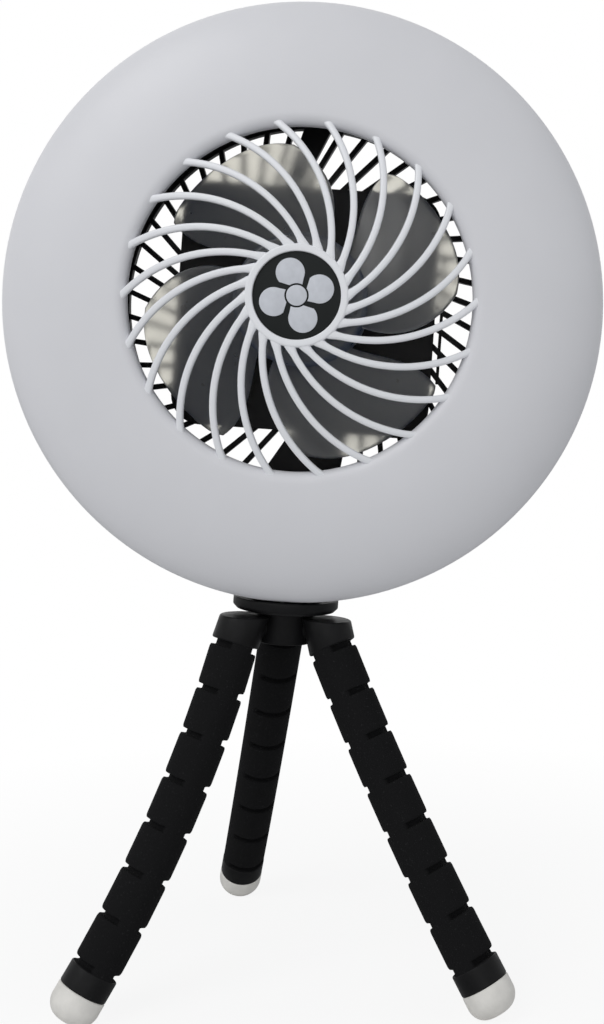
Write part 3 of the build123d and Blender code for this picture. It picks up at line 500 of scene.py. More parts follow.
# ------------------------------------------------------------------------------------ mesh work
class Form:
    """A mesh under work, in millimetres."""

    def __init__(self) -> None:
        """Starts empty."""
        self.bm = bmesh.new()

    def spin(self, outline: Sequence[tuple[float, float]], steps: int, place: Matrix | None = None) -> None:
        """Spins an outline of (radius, height) points about Z; it is closed unless its ends lie on the axis.

        Args:
            outline: the section's points in order.
            steps: how many faces go round.
            place: where the turned shape goes.
        """
        verts = [self.bm.verts.new((radius, 0.0, height)) for radius, height in outline]
        edges = [self.bm.edges.new(pair) for pair in zip(verts, verts[1:])]
        if outline[0][0] > 0.0 or outline[-1][0] > 0.0:
            edges.append(self.bm.edges.new((verts[-1], verts[0])))
        bmesh.ops.spin(
            self.bm, geom=verts + edges, axis=(0, 0, 1), cent=(0, 0, 0), angle=2 * math.pi, steps=steps,
            use_merge=True, use_duplicate=False,
        )
        poles = [v for v in self.bm.verts if math.hypot(v.co.x, v.co.y) < ON_AXIS_MM]
        bmesh.ops.remove_doubles(self.bm, verts=poles, dist=1e-4)
        if place is not None:
            bmesh.ops.transform(self.bm, matrix=place, verts=self.bm.verts)

    def add(self, other: Form, place: Matrix | None = None) -> None:
        """Takes in another form, which is used up.

        Args:
            other: the form.
            place: where it goes.
        """
        if place is not None:
            bmesh.ops.transform(other.bm, matrix=place, verts=other.bm.verts)
        held = bpy.data.meshes.new("held")
        other.bm.to_mesh(held)
        other.bm.free()
        self.bm.from_mesh(held)
        bpy.data.meshes.remove(held)

    def sweep(self, section: Sequence[bmesh.types.BMVert], stations: Sequence[Matrix]) -> None:
        """Draws a section's face through stations.

        Args:
            section: the face's vertices, lying at the first station.
            stations: the section's place at each step.
        """
        face = self.bm.faces.new(section)
        for number, (before, after) in enumerate(zip(stations, stations[1:])):
            made = bmesh.ops.extrude_face_region(self.bm, geom=[face])["geom"]
            if number > 0:
                bmesh.ops.delete(self.bm, geom=[face], context="FACES_ONLY")
            face = next(f for f in made if isinstance(f, bmesh.types.BMFace))
            verts = [v for v in made if isinstance(v, bmesh.types.BMVert)]
            bmesh.ops.transform(self.bm, matrix=after @ before.inverted(), verts=verts)

    def rod(self, radius: float, length: float, steps: int) -> None:
        """Adds a closed cylinder about Z, with its middle at the origin.

        Args:
            radius: its radius.
            length: how long it is.
            steps: how many faces go round.
        """
        bmesh.ops.create_cone(
            self.bm, cap_ends=True, segments=steps, radius1=radius, radius2=radius, depth=length
        )

    def bevel_sharp(self, width: float, angle: float = 40.0, segments: int = 3) -> None:
        """Rounds every edge that is sharper than an angle.

        Args:
            width: how far the round reaches from the edge.
            angle: the least angle between two faces, in degrees.
            segments: how many faces make the round.
        """
        self.bm.normal_update()
        sharp = [e for e in self.bm.edges if e.is_manifold and e.calc_face_angle(0.0) > math.radians(angle)]
        bmesh.ops.bevel(
            self.bm, geom=sharp, offset=width, offset_type="OFFSET", segments=segments, profile=0.5,
            affect="EDGES", clamp_overlap=True, material=-1,
        )

    def everything(self) -> list:
        """All vertices, edges and faces."""
        return self.bm.verts[:] + self.bm.edges[:] + self.bm.faces[:]

    def cut(self, point: Vector, normal: Vector) -> None:
        """Cuts away what lies on a plane's normal side and closes the cut.

        Args:
            point: a point of the plane.
            normal: the side that goes.
        """
        made = bmesh.ops.bisect_plane(
            self.bm, geom=self.everything(), dist=1e-5, plane_co=point, plane_no=normal, clear_outer=True
        )
        rim = [e for e in made["geom_cut"] if isinstance(e, bmesh.types.BMEdge)]
        bmesh.ops.holes_fill(self.bm, edges=rim, sides=0)

    def loops(self, heights: Iterable[float]) -> None:
        """Adds a loop of edges at each height.

        Args:
            heights: the heights, along Z.
        """
        for height in heights:
            bmesh.ops.bisect_plane(
                self.bm, geom=self.everything(), dist=1e-6, plane_co=(0, 0, height), plane_no=(0, 0, 1)
            )

    def shape(self, rule: Callable[[Vector], Vector]) -> None:
        """Moves every vertex by a rule."""
        for vert in self.bm.verts:
            vert.co = rule(vert.co)

    def finish(self, name: str, place: Matrix, finish: Finish, sharp: float = 32.0) -> bpy.types.Object:
        """Turns the form into an object whose mesh lies in the row frame.

        Args:
            name: the piece's name.
            place: the frame that the form was drawn in.
            finish: its material.
            sharp: edges over this angle, in degrees, stay sharp.

        Returns:
            The piece.
        """
        bmesh.ops.recalc_face_normals(self.bm, faces=self.bm.faces)
        bmesh.ops.transform(self.bm, matrix=place @ Matrix.Scale(MM, 4), verts=self.bm.verts)
        for face in self.bm.faces:
            face.smooth = True
        for edge in self.bm.edges:
            edge.smooth = not edge.is_manifold or edge.calc_face_angle(0.0) < math.radians(sharp)
        mesh = bpy.data.meshes.new(name)
        self.bm.to_mesh(mesh)
        self.bm.free()
        made = bpy.data.objects.new(name, mesh)
        bpy.context.scene.collection.objects.link(made)
        mesh.materials.append(finish.material())
        LOG.info("%s: %d faces", name, len(mesh.polygons))
        return made


def arc(centre: tuple[float, float], size: tuple[float, float], start: float, end: float, steps: int) -> list:
    """Points of an elliptical arc.

    Args:
        centre: the ellipse's centre.
        size: its half axes.
        start: first angle in degrees.
        end: last angle in degrees.
        steps: how many pieces.

    Returns:
        The points in order, both ends included.
    """
    angles = [math.radians(start + (end - start) * i / steps) for i in range(steps + 1)]
    return [(centre[0] + size[0] * math.cos(a), centre[1] + size[1] * math.sin(a)) for a in angles]


def circle_through(first: tuple, second: tuple, third: tuple) -> Callable[[float], float]:
    """The upper arc through three points.

    Args:
        first: a (distance, height) point.
        second: the next one.
        third: the last one.

    Returns:
        The arc's height as a function of the distance.
    """
    (ax, ay), (bx, by), (cx, cy) = first, second, third
    d = 2 * (ax * (by - cy) + bx * (cy - ay) + cx * (ay - by))
    ux = ((ax**2 + ay**2) * (by - cy) + (bx**2 + by**2) * (cy - ay) + (cx**2 + cy**2) * (ay - by)) / d
    uy = ((ax**2 + ay**2) * (cx - bx) + (bx**2 + by**2) * (ax - cx) + (cx**2 + cy**2) * (bx - ax)) / d
    radius = math.hypot(ax - ux, ay - uy)
    return lambda distance: uy + math.sqrt(radius**2 - (distance - ux) ** 2)


def about_z(degrees: float) -> Matrix:
    """A turn about Z."""
    return Matrix.Rotation(math.radians(degrees), 4, "Z")


def seat(piece: bpy.types.Object, body: str, slot: str, *nodes: str) -> None:
    """Lets a piece ride on a body, in the place of CAD nodes.

    Args:
        piece: the piece.
        body: the body that carries it.
        slot: the record's material slot; not used.
        nodes: the CAD nodes that it replaces.
    """
    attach(piece, body)
    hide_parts(*nodes)


def smooth(value: float, low: float, high: float) -> float:
    """A soft step from nought at low to one at high."""
    share = min(1.0, max(0.0, (value - low) / (high - low)))
    return share * share * (3.0 - 2.0 * share)


# ------------------------------------------------------------------------------------ places
class LegSide(Enum):
    """The three legs, with the direction of each one's cup on the tripod head, in degrees."""

    LEFT = -150.0
    RIGHT = -30.0
    REAR = 90.0

    @property
    def label(self) -> str:
        """The leg's name in the frame."""
        return self.name.lower()

    @property
    def turn(self) -> float:
        """The direction of the cup in the stand's frame, with the tripod head as it is screwed on."""
        return self.value + STAND_TURN_DEG


def basis(x: Vector, y: Vector, z: Vector) -> Matrix:
    """The turn that takes the axes to three directions."""
    return Matrix((x, y, z)).transposed().to_4x4()


class Joints:
    """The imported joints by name, in millimetres."""

    def __init__(self, rows: Sequence[dict]) -> None:
        """Keeps the rows by name."""
        self.rows = {row["name"]: row for row in rows}

    def point(self, name: str) -> Vector:
        """A joint's place at rest."""
        return Vector(self.rows[name]["pos_m"]) / MM

    def axis(self, name: str) -> Vector:
        """A joint's axis."""
        return Vector(self.rows[name]["axis"]).normalized()

    def fan_frame(self) -> Matrix:
        """The fan's frame: X right, Y up along the tripod screw, Z forward."""
        up, forward = self.axis("head_swivel"), self.axis("fan_spin")
        return Matrix.Translation(self.point("fan_spin") * MM) @ basis(up.cross(forward), up, forward)

    def stand_frame(self) -> Matrix:
        """The stand's frame: X right, Y to the rear, Z up along the tripod screw."""
        return self.fan_frame() @ Matrix.Rotation(math.radians(-90.0), 4, "X")


# ------------------------------------------------------------------------------------ head
@dataclass
class FrontCover:
    """The frosted ring, its curved ribs and the hub ring, one moulding."""

    place: Matrix
    rim_radius: float = 125.0
    rim_forward: float = 18.0
    skirt: float = 2.0
    skirt_edge: float = 0.3
    crest: tuple[float, float] = (75.0, 37.0)
    lip: tuple[float, float] = (5.0, 3.8)
    lip_wall: float = 1.8
    wall: float = 2.2
    collar: tuple[float, float] = (75.7, 77.9)
    collar_end: float = 26.4
    rib_count: int = 22
    rib_size: tuple[float, float] = (2.8, 3.2)
    rib_curve: tuple[float, float] = (52.8, 60.7)
    rib_phase: float = 9.7
    rib_points: tuple = ((0.0, 48.2), (48.0, 43.6), (72.0, 36.2))
    rib_span: tuple[float, float] = (18.6, 73.9)
    rib_steps: int = 40
    rib_corner: float = 0.95
    rib_flare: float = 0.3
    flare_span: tuple[float, float] = (69.0, 73.9)
    flare_power: float = 1.6
    rib_root_flare: float = 0.6
    root_end: float = 24.0
    hub_ring: tuple[float, float] = (17.5, 20.5)
    hub_forward: float = 48.2
    hub_depth: float = 4.4
    hub_floor: float = 1.4
    hub_round: float = 0.8
    hub_inner_round: float = 0.48
    hub_chamfer: float = 0.4
    post_count: int = 6
    post_circle: float = 114.0
    post_size: tuple[float, float] = (1.3, 3.4)
    post_front: float = 27.0

    def dome_outline(self) -> list[tuple[float, float]]:
        """The ring's section."""
        crest_radius, top = self.crest
        base = (crest_radius, self.rim_forward)
        outer = arc(base, (self.rim_radius - crest_radius, top - self.rim_forward), 0, 90, steps=40)
        nose = arc((crest_radius, top - self.lip[1]), self.lip, 90, 180, steps=10)[1:]
        under = top - self.lip[1] - self.lip_wall
        inner_wall = [
            (crest_radius - self.lip[0], under),
            (self.collar[0], under),
            (self.collar[0], self.collar_end),
            (self.collar[1], self.collar_end),
        ]
        size = (self.rim_radius - self.wall - crest_radius, top - self.wall - self.rim_forward)
        start = math.degrees(math.acos((self.collar[1] - crest_radius) / size[0]))
        inner = arc(base, size, start, 0, steps=30)
        back, edge = self.rim_forward - self.skirt, self.skirt_edge
        skirt = [(self.rim_radius - self.wall, back), (self.rim_radius - edge, back)]
        skirt += [(self.rim_radius, back + edge)]
        return outer + nose + inner_wall + inner + skirt

    def rib_angle(self, radius: float) -> float:
        """Where the first rib crosses a circle about the fan's axis.

        Args:
            radius: the circle's radius.

        Returns:
            The angle in radians.
        """
        offset, curve = self.rib_curve
        share = (radius**2 + offset**2 - curve**2) / (2 * radius * offset)
        return math.radians(self.rib_phase) - math.acos(share)

    def rib(self) -> Form:
        """One rib: a rounded bar drawn along its curve, spread where it meets the hub and the ring."""
        top = circle_through(*self.rib_points)
        low, high = self.rib_span
        steps = self.rib_steps
        radii = [low + (high - low) * i / steps for i in range(steps + 1)]
        turns = [self.rib_angle(r) for r in radii]
        points = [Vector((r * math.cos(a), r * math.sin(a), top(r))) for r, a in zip(radii, turns)]
        width, depth = self.rib_size
        stations = []
        for i, (radius, point) in enumerate(zip(radii, points)):
            along = (points[min(i + 1, steps)] - points[max(i - 1, 0)]).normalized()
            side = Vector((-along.y, along.x, 0.0)).normalized()
            spread = 1.0 + self.rib_flare * smooth(radius, *self.flare_span) ** self.flare_power
            spread += self.rib_root_flare * (1.0 - smooth(radius, low, self.root_end))
            stations.append(Matrix.Translation(point) @ basis(side * spread, along.cross(side), along))
        corner = self.rib_corner
        right, deep = width / 2 - corner, corner - depth
        outline = []
        middles = ((right, -corner), (-right, -corner), (-right, deep), (right, deep))
        for quarter, middle in enumerate(middles):
            outline += arc(middle, (corner, corner), 90 * quarter, 90 * quarter + 90, 3)
        form = Form()
        form.sweep([form.bm.verts.new(stations[0] @ Vector((x, y, 0.0))) for x, y in outline], stations)
        return form

    def build(self) -> list[bpy.types.Object]:
        """The ring, the grille with its hub and the posts."""
        dome = Form()
        dome.spin(self.dome_outline(), RING_STEPS)
        ring = dome.finish("cover_ring", self.place, FROSTED, sharp=50.0)
        grille = Form()
        for index in range(self.rib_count):
            grille.add(self.rib(), about_z(360.0 * index / self.rib_count))
        inner, outer = self.hub_ring
        back, front = self.hub_forward - self.hub_depth, self.hub_forward
        r, small, edge = self.hub_round, self.hub_inner_round, self.hub_chamfer
        outline = (
            [(0.0, back), (outer - edge, back), (outer, back + edge)]
            + arc((outer - r, front - r), (r, r), 0, 90, 4)
            + arc((inner + small, front - small), (small, small), 90, 180, 3)
            + [(inner, back + self.hub_floor), (0.0, back + self.hub_floor)]
        )
        hub = Form()
        hub.spin(outline, WHEEL_STEPS)
        grille.add(hub)
        bars = grille.finish("cover_grille", self.place, RIB_WHITE, sharp=50.0)
        posts = self.posts().finish("cover_posts", self.place, FROSTED)
        for piece in (ring, bars, posts):
            seat(piece, "head", "frosted_white", "front_cover")
        return [ring, bars, posts]

    def posts(self) -> Form:
        """The six hollow posts behind the dome that the case screws enter."""
        back = self.rim_forward - self.skirt
        bore, full = self.post_size
        form = Form()
        for index in range(self.post_count):
            post = Form()
            outline = [(bore, back), (full, back), (full, self.post_front), (bore, self.post_front)]
            post.spin(outline, steps=28)
            turn = about_z(360.0 * index / self.post_count)
            form.add(post, turn @ Matrix.Translation((self.post_circle, 0, 0)))
        return form


@dataclass
class Badge:
    """The dark disc in the hub ring with its propeller sign."""

    place: Matrix
    radius: float = 17.4
    low: float = 45.2
    thickness: float = 2.0
    edge: float = 0.25
    eye_radius: float = 4.1
    gap: float = 0.7
    sign_height: float = 0.35
    sign_edge: float = 0.12
    blade_centre: tuple[float, float] = (-2.0, 9.15)
    blade_radius: float = 5.75
    blade_arc: tuple[float, float] = (-26.0, 218.0)
    blade_count: int = 4
    root_half: float = 2.5
    turn: float = 7.0

    def blade(self) -> Form:
        """One rounded blade of the sign, set to one side."""
        form = Form()
        outline = arc(self.blade_centre, (self.blade_radius,) * 2, *self.blade_arc, steps=22)
        reach = self.eye_radius + self.gap
        half = math.degrees(math.asin(self.root_half / reach))
        outline += arc((0.0, 0.0), (reach, reach), 90.0 + half, 90.0 - half, steps=6)
        face = form.bm.faces.new([form.bm.verts.new((x, y, 0.0)) for x, y in outline])
        self.raise_face(form, face)
        return form

    def raise_face(self, form: Form, face: bmesh.types.BMFace) -> None:
        """Gives a flat face its thickness and a soft upper edge.

        Args:
            form: the form that holds it.
            face: the face.
        """
        made = bmesh.ops.extrude_face_region(form.bm, geom=[face])["geom"]
        verts = [v for v in made if isinstance(v, bmesh.types.BMVert)]
        bmesh.ops.translate(form.bm, verts=verts, vec=(0, 0, self.sign_height))
        top = next(f for f in made if isinstance(f, bmesh.types.BMFace))
        bmesh.ops.bevel(
            form.bm, geom=list(top.edges), offset=self.sign_edge, offset_type="OFFSET", segments=2,
            profile=0.5, affect="EDGES", material=-1,
        )

    def build(self) -> list[bpy.types.Object]:
        """The disc and the sign."""
        top, edge = self.low + self.thickness, self.edge
        outline = [(0.0, self.low), (self.radius, self.low), (self.radius, top - edge)]
        outline += arc((self.radius - edge, top - edge), (edge, edge), 0, 90, 3)[1:] + [(0.0, top)]
        form = Form()
        form.spin(outline, WHEEL_STEPS)
        disc = form.finish("badge_disc", self.place, BADGE_BLACK)
        sign = Form()
        eye = Form()
        made = bmesh.ops.create_circle(eye.bm, cap_ends=True, segments=40, radius=self.eye_radius)
        self.raise_face(eye, made["verts"][0].link_faces[0])
        sign.add(eye, Matrix.Translation((0, 0, top)))
        for index in range(self.blade_count):
            spin = about_z(360.0 / self.blade_count * index + self.turn)
            sign.add(self.blade(), Matrix.Translation((0, 0, top)) @ spin)
        emblem = sign.finish("badge_sign", self.place, EMBLEM_SILVER)
        seat(disc, "head", "badge_black", "hub_badge")
        seat(emblem, "head", "emblem_silver", "badge_emblem")
        return [disc, emblem]


@dataclass
class Impeller:
    """Hub cup and four wide pitched blades of smoked clear plastic."""

    place: Matrix
    radius: float = 67.0
    hub_radius: float = 27.3
    hub_wall: float = 2.0
    hub_front: float = 34.0
    hub_back: float = 9.0
    hub_round: float = 2.4
    boss_radius: float = 4.0
    boss_back: float = 27.6
    shaft_radius: float = 1.0
    shaft_front: float = 32.5
    blade_middle: float = 21.5
    blade_thickness: float = 1.8
    blade_edge: float = 0.5
    blade_count: int = 4
    blade_phase: float = 4.0
    blade_axis: float = 203.0
    pitch: tuple[float, float] = (25.0, 15.6)
    lead: tuple[float, float, float] = (156.0, 168.0, 187.0)
    trail: tuple[float, float, float] = (226.0, 240.0, 237.5)
    stations: tuple[float, float, float] = (26.3, 50.6, 67.0)
    lead_corner: tuple[float, int] = (0.075, 5)
    trail_corner: tuple[float, int] = (0.04, 14)
    corner_span: tuple[float, float] = (0.5, 1.0)

    def between(self, angles: tuple[float, float, float], radius: float) -> float:
        """The angle of an edge at a radius, by a parabola through its three stations.

        Args:
            angles: the edge's angle at each station, in degrees.
            radius: the radius.

        Returns:
            The angle in degrees.
        """
        (a, b, c), (r0, r1, r2) = angles, self.stations
        return (
            a * (radius - r1) * (radius - r2) / ((r0 - r1) * (r0 - r2))
            + b * (radius - r0) * (radius - r2) / ((r1 - r0) * (r1 - r2))
            + c * (radius - r0) * (radius - r1) / ((r2 - r0) * (r2 - r1))
        )

    def blade_point(self, out: float, across: float) -> Vector:
        """A point of the blade's middle surface.

        Args:
            out: nought at the hub, one at the tip.
            across: minus one at the leading edge, one at the trailing edge.

        Returns:
            The point in the fan's frame.
        """
        root = self.stations[0]
        drop, sharpness = self.lead_corner if across < 0.0 else self.trail_corner
        corner = 1.0 - abs(across) ** sharpness * drop * smooth(out, *self.corner_span)
        radius = root + (self.radius - root) * out * corner
        lead, trail = self.between(self.lead, radius), self.between(self.trail, radius)
        angle = math.radians((lead + trail) / 2 + (trail - lead) / 2 * across)
        shift = radius * math.sin(angle - math.radians(self.blade_axis))
        at_root, at_tip = self.pitch
        pitch = math.radians(at_root + (at_tip - at_root) * (radius - root) / (self.radius - root))
        height = self.blade_middle - shift * math.tan(pitch)
        return Vector((radius * math.cos(angle), radius * math.sin(angle), height))

    def blade(self) -> Form:
        """One blade, a bent sheet with thin round edges."""
        form = Form()
        bmesh.ops.create_grid(form.bm, x_segments=22, y_segments=26, size=1.0)
        form.shape(lambda co: self.blade_point((co.x + 1.0) / 2.0, co.y))
        bmesh.ops.recalc_face_normals(form.bm, faces=form.bm.faces)
        bmesh.ops.translate(form.bm, verts=form.bm.verts, vec=(0, 0, -self.blade_thickness / 2))
        bmesh.ops.solidify(form.bm, geom=form.bm.faces[:], thickness=self.blade_thickness)
        form.bevel_sharp(self.blade_edge, angle=60.0, segments=2)
        return form

    def build(self) -> list[bpy.types.Object]:
        """The whole wheel."""
        inner = self.hub_radius - self.hub_wall
        r = self.hub_round
        under = self.hub_front - self.hub_wall
        outline = [(0.0, self.shaft_front), (self.shaft_radius, self.shaft_front)]
        outline += [(self.shaft_radius, self.boss_back), (self.boss_radius, self.boss_back)]
        outline += [(self.boss_radius, under), (inner, under)]
        outline += [(inner, self.hub_back), (self.hub_radius, self.hub_back)]
        outline += arc((self.hub_radius - r, self.hub_front - r), (r, r), 0, 90, steps=6)
        outline += [(0.0, self.hub_front)]
        wheel = Form()
        wheel.spin(outline, WHEEL_STEPS)
        for index in range(self.blade_count):
            wheel.add(self.blade(), about_z(360.0 / self.blade_count * index + self.blade_phase))
        piece = wheel.finish("impeller_wheel", self.place, SMOKE, sharp=45.0)
        seat(piece, "rotor", "impeller_smoke", "impeller")
        return [piece]


# ------------------------------------------------------------------------------------ tripod
@dataclass
class TripodHead:
    """The round platform, its column with the screw's pocket and the short arms that carry the leg cups."""

    place: Matrix
    radius: float = 22.5
    top: float = -125.3
    bottom: float = -130.4
    chamfer: float = 1.6
    edge: float = 0.5
    column_radius: float = 12.0
    column_bottom: float = -144.4
    bore: float = 3.325
    pocket_radius: float = 6.55
    pocket_depth: float = 4.0
    arm_radius: float = 4.5
    arm_edge: float = 0.4
    arm_span: tuple[float, float] = (8.0, 22.0)
    arm_height: float = -132.6
    arm_drop: float = 5.2

    def build(self) -> list[bpy.types.Object]:
        """The head as one moulding."""
        e, c = self.edge, self.chamfer
        ledge = self.column_bottom + self.pocket_depth
        outline = [(self.bore, ledge), (self.pocket_radius, ledge), (self.pocket_radius, self.column_bottom)]
        outline += arc((self.column_radius - e, self.column_bottom + e), (e, e), -90, 0, 3)
        outline += [(self.column_radius, self.bottom - e), (self.column_radius + e, self.bottom)]
        outline += [(self.radius - c - e / 2, self.bottom), (self.radius - c + e / 3, self.bottom + e / 5)]
        outline += [(self.radius - e / 4, self.bottom + c - e / 3), (self.radius, self.bottom + c + e / 3)]
        outline += arc((self.radius - e, self.top - e), (e, e), 0, 90, 4) + [(self.bore, self.top)]
        form = Form()
        form.spin(outline, WHEEL_STEPS)
        near, far = self.arm_span
        for side in LegSide:
            arm = Form()
            arm.rod(self.arm_radius, far - near, steps=32)
            arm.bevel_sharp(self.arm_edge)
            middle = Vector(((near + far) / 2, 0.0, self.arm_height - self.arm_drop))
            lay = Matrix.Translation(middle) @ Matrix.Rotation(math.radians(90.0), 4, "Y")
            form.add(arm, about_z(side.turn) @ lay)
        piece = form.finish("tripod_platform", self.place, TRIPOD_BLACK, sharp=40.0)
        seat(piece, "tripod", "tripod_black", "tripod_head")
        return [piece]


@dataclass
class Leg:
    """One bendable leg: cup, notched foam sleeve over a wire, end cap and foot."""

    side: LegSide
    joints: Joints
    stand: Matrix
    blocks: int = 7
    foam_radius: float = 9.9
    notch_width: float = 2.8
    notch_depth: float = 2.7
    notch_reach: float = 58.0
    notch_fade: float = 5.0
    notch_wall: tuple[float, float] = (0.28, 0.02)
    notch_lip: float = 0.3
    notch_lip_width: float = 0.5
    sleeve_loops: tuple[float, ...] = (0.5, 1.0, 1.15, 1.26, 1.34, 1.41, 1.6, 1.9, 2.6, 4.5, 7.0)
    loop_margin: float = 0.05
    wire_radius: float = 1.6
    wire_bore: float = 1.7
    wire_grip: float = 6.0
    wire_loops: tuple[float, ...] = (-1.4, -0.7, 0.0, 0.7, 1.4)
    cap_radius: float = 10.05
    cap_length: float = 8.6
    cap_round: float = 0.45
    foot_radius: float = 10.15
    foot_length: float = 11.8
    foot_corner: float = 7.0
    foot_chamfer: tuple[float, float] = (0.35, 0.4)
    ground: float = 0.00001
    cup_radius: float = 10.1
    cup_tilt: float = 18.0
    cup_top: float = -132.4
    cup_blank: float = 60.0
    cup_edge: float = 0.7
    seated: float = 0.8

    @property
    def name(self) -> str:
        """The leg's name in the frame."""
        return self.side.label

    def notch(self, number: int) -> Vector:
        """The place of a notch, counted from one, in millimetres."""
        return self.joints.point(f"{self.name}_notch_{number}")

    def body(self, number: int) -> str:
        """The body below a notch.

        Args:
            number: the notch, counted from one; nought is what the leg hangs from.

        Returns:
            The body's name.
        """
        if number == 0:
            return "tripod"
        return f"{self.name}_block_{number}" if number <= self.blocks else f"{self.name}_tip"

    def down(self, number: int) -> Vector:
        """Direction of the block below a notch, away from the tripod.

        Args:
            number: the notch; past the last block the bend goes on as it was.

        Returns:
            The direction.
        """
        if number > self.blocks:
            before, last = self.down(self.blocks - 1), self.down(self.blocks)
            return before.rotation_difference(last) @ last
        number = max(number, 1)
        return (self.notch(number + 1) - self.notch(number)).normalized()

    def frame(self, number: int) -> Matrix:
        """Frame at a notch, Z up along the block below it and X outward.

        Args:
            number: the notch.

        Returns:
            The frame, in metres.
        """
        up = -self.down(number)
        out = up.cross(self.joints.axis(f"{self.name}_notch_1")).normalized()
        return Matrix.Translation(self.notch(number) * MM) @ basis(out, up.cross(out), up)

    def rest_bend(self, number: int) -> float:
        """Turn from the block above a notch to the one below, in radians about the frame's Y."""
        return self.down(number - 1).angle(self.down(number)) if number > 1 else 0.0

    def sleeve_rule(self, bend: float) -> Callable[[Vector], Vector]:
        """How a plain tube's points move to make the notch and the bend at rest.

        Args:
            bend: the bend at rest, in radians.

        Returns:
            The rule, from a point to its new place.
        """

        def rule(co: Vector) -> Vector:
            """Cuts the notch and bends the upper part.

            Args:
                co: a point of the plain tube.

            Returns:
                Its new place.
            """
            angle = math.degrees(math.atan2(abs(co.y), abs(co.x)))
            fade = self.notch_fade
            reach = 1.0 - smooth(angle, self.notch_reach - fade, self.notch_reach + fade)
            half = self.notch_width / 2
            inside, outside = self.notch_wall
            cut = 1.0 - smooth(abs(co.z), half - inside, half + outside)
            edge = self.notch_lip * math.exp(-(((abs(co.z) - half) / self.notch_lip_width) ** 2))
            outer = smooth(math.hypot(co.x, co.y), self.wire_bore, self.foam_radius)
            shrink = 1.0 - (self.notch_depth * cut + edge * (1.0 - cut)) * reach * outer / self.foam_radius
            moved = Vector((co.x * shrink, co.y * shrink, co.z))
            return self.bent(bend, co.z) @ moved

        return rule

    def bent(self, bend: float, height: float) -> Matrix:
        """The share of a notch's bend that is reached at a height."""
        half = self.notch_width / 2
        return Matrix.Rotation(bend * smooth(height, -half, half), 3, "Y")

    def pitch(self) -> float:
        """The distance from a notch to the next."""
        return (self.notch(2) - self.notch(1)).length

    def sleeve(self, number: int) -> bpy.types.Object:
        """The foam from the middle of the block above a notch to the middle of the block below it.

        Args:
            number: the notch.

        Returns:
            The piece.
        """
        end, half = self.notch_width / 2 + self.seated, self.pitch() / 2
        top = end if number == 1 else half
        bottom = -end if number > self.blocks else -half
        form = Form()
        bore, full = self.wire_bore, self.foam_radius
        form.spin([(bore, bottom), (full, bottom), (full, top), (bore, top)], TUBE_STEPS)
        heights = {0.0, *self.sleeve_loops, *(-height for height in self.sleeve_loops)}
        margin = self.loop_margin
        form.loops(sorted(height for height in heights if bottom + margin < height < top - margin))
        form.shape(self.sleeve_rule(self.rest_bend(number)))
        piece = form.finish(f"{self.name}_sleeve_{number}", self.frame(number), FOAM, sharp=60.0)
        replaced = [f"{self.name}_foam_{n}" for n in (number - 1, number) if 1 <= n <= self.blocks]
        self.across(piece, number)
        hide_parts(*replaced)
        return piece

    def across(self, piece: bpy.types.Object, number: int) -> None:
        """Lays a piece's place into its mesh; the ends of the notch that it crosses are worked out but not
        used.

        Args:
            piece: the piece.
            number: the notch.
        """
        up = -self.down(number)
        centre, reach = self.notch(number), self.notch_width / 2
        start, end = (centre + up * reach) * MM, (centre - up * reach) * MM
        self.body(number - 1)
        self.body(number)
        tuple(start)
        tuple(end)
        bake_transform(piece)

    def core(self, number: int) -> bpy.types.Object:
        """The stiff wire inside the same stretch of sleeve.

        Args:
            number: the notch.

        Returns:
            The piece.
        """
        half = self.pitch() / 2
        top = self.wire_grip if number == 1 else half
        bottom = -self.wire_grip if number > self.blocks else -half
        form = Form()
        form.rod(self.wire_radius, top - bottom, steps=20)
        bmesh.ops.translate(form.bm, verts=form.bm.verts, vec=(0, 0, (top + bottom) / 2))
        form.loops(self.wire_loops)
        bend = self.rest_bend(number)
        form.shape(lambda co: self.bent(bend, co.z) @ co)
        piece = form.finish(f"{self.name}_core_{number}", self.frame(number), BRIGHT_STEEL)
        self.across(piece, number)
        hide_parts(f"{self.name}_core_wire")
        return piece

    def cup(self) -> bpy.types.Object:
        """The cup that the leg hangs from, level above and square to the leg below."""
        heading, tilt = math.radians(self.side.turn), math.radians(self.cup_tilt)
        outward = Vector((math.cos(heading), math.sin(heading), 0.0))
        up = (Vector((0, 0, math.cos(tilt))) - outward * math.sin(tilt)).normalized()
        level = outward * math.cos(tilt) + Vector((0, 0, math.sin(tilt)))
        turn = basis(level, up.cross(level), up)
        stand = self.stand.to_3x3().to_4x4()
        origin = self.stand.inverted() @ (self.notch(1) * MM) / MM
        form = Form()
        form.rod(self.cup_radius, self.cup_blank, TUBE_STEPS)
        bmesh.ops.transform(form.bm, matrix=Matrix.Translation(origin) @ turn, verts=form.bm.verts)
        form.cut(Vector((0, 0, self.cup_top)), Vector((0, 0, 1)))
        below = stand.inverted() @ self.down(1)
        form.cut(origin - below * self.notch_width / 2, below)
        form.bevel_sharp(self.cup_edge, angle=50.0, segments=3)
        piece = form.finish(f"{self.name}_cup_shell", self.stand, TRIPOD_BLACK, sharp=40.0)
        seat(piece, "tripod", "tripod_black", f"{self.name}_leg_cup")
        return piece

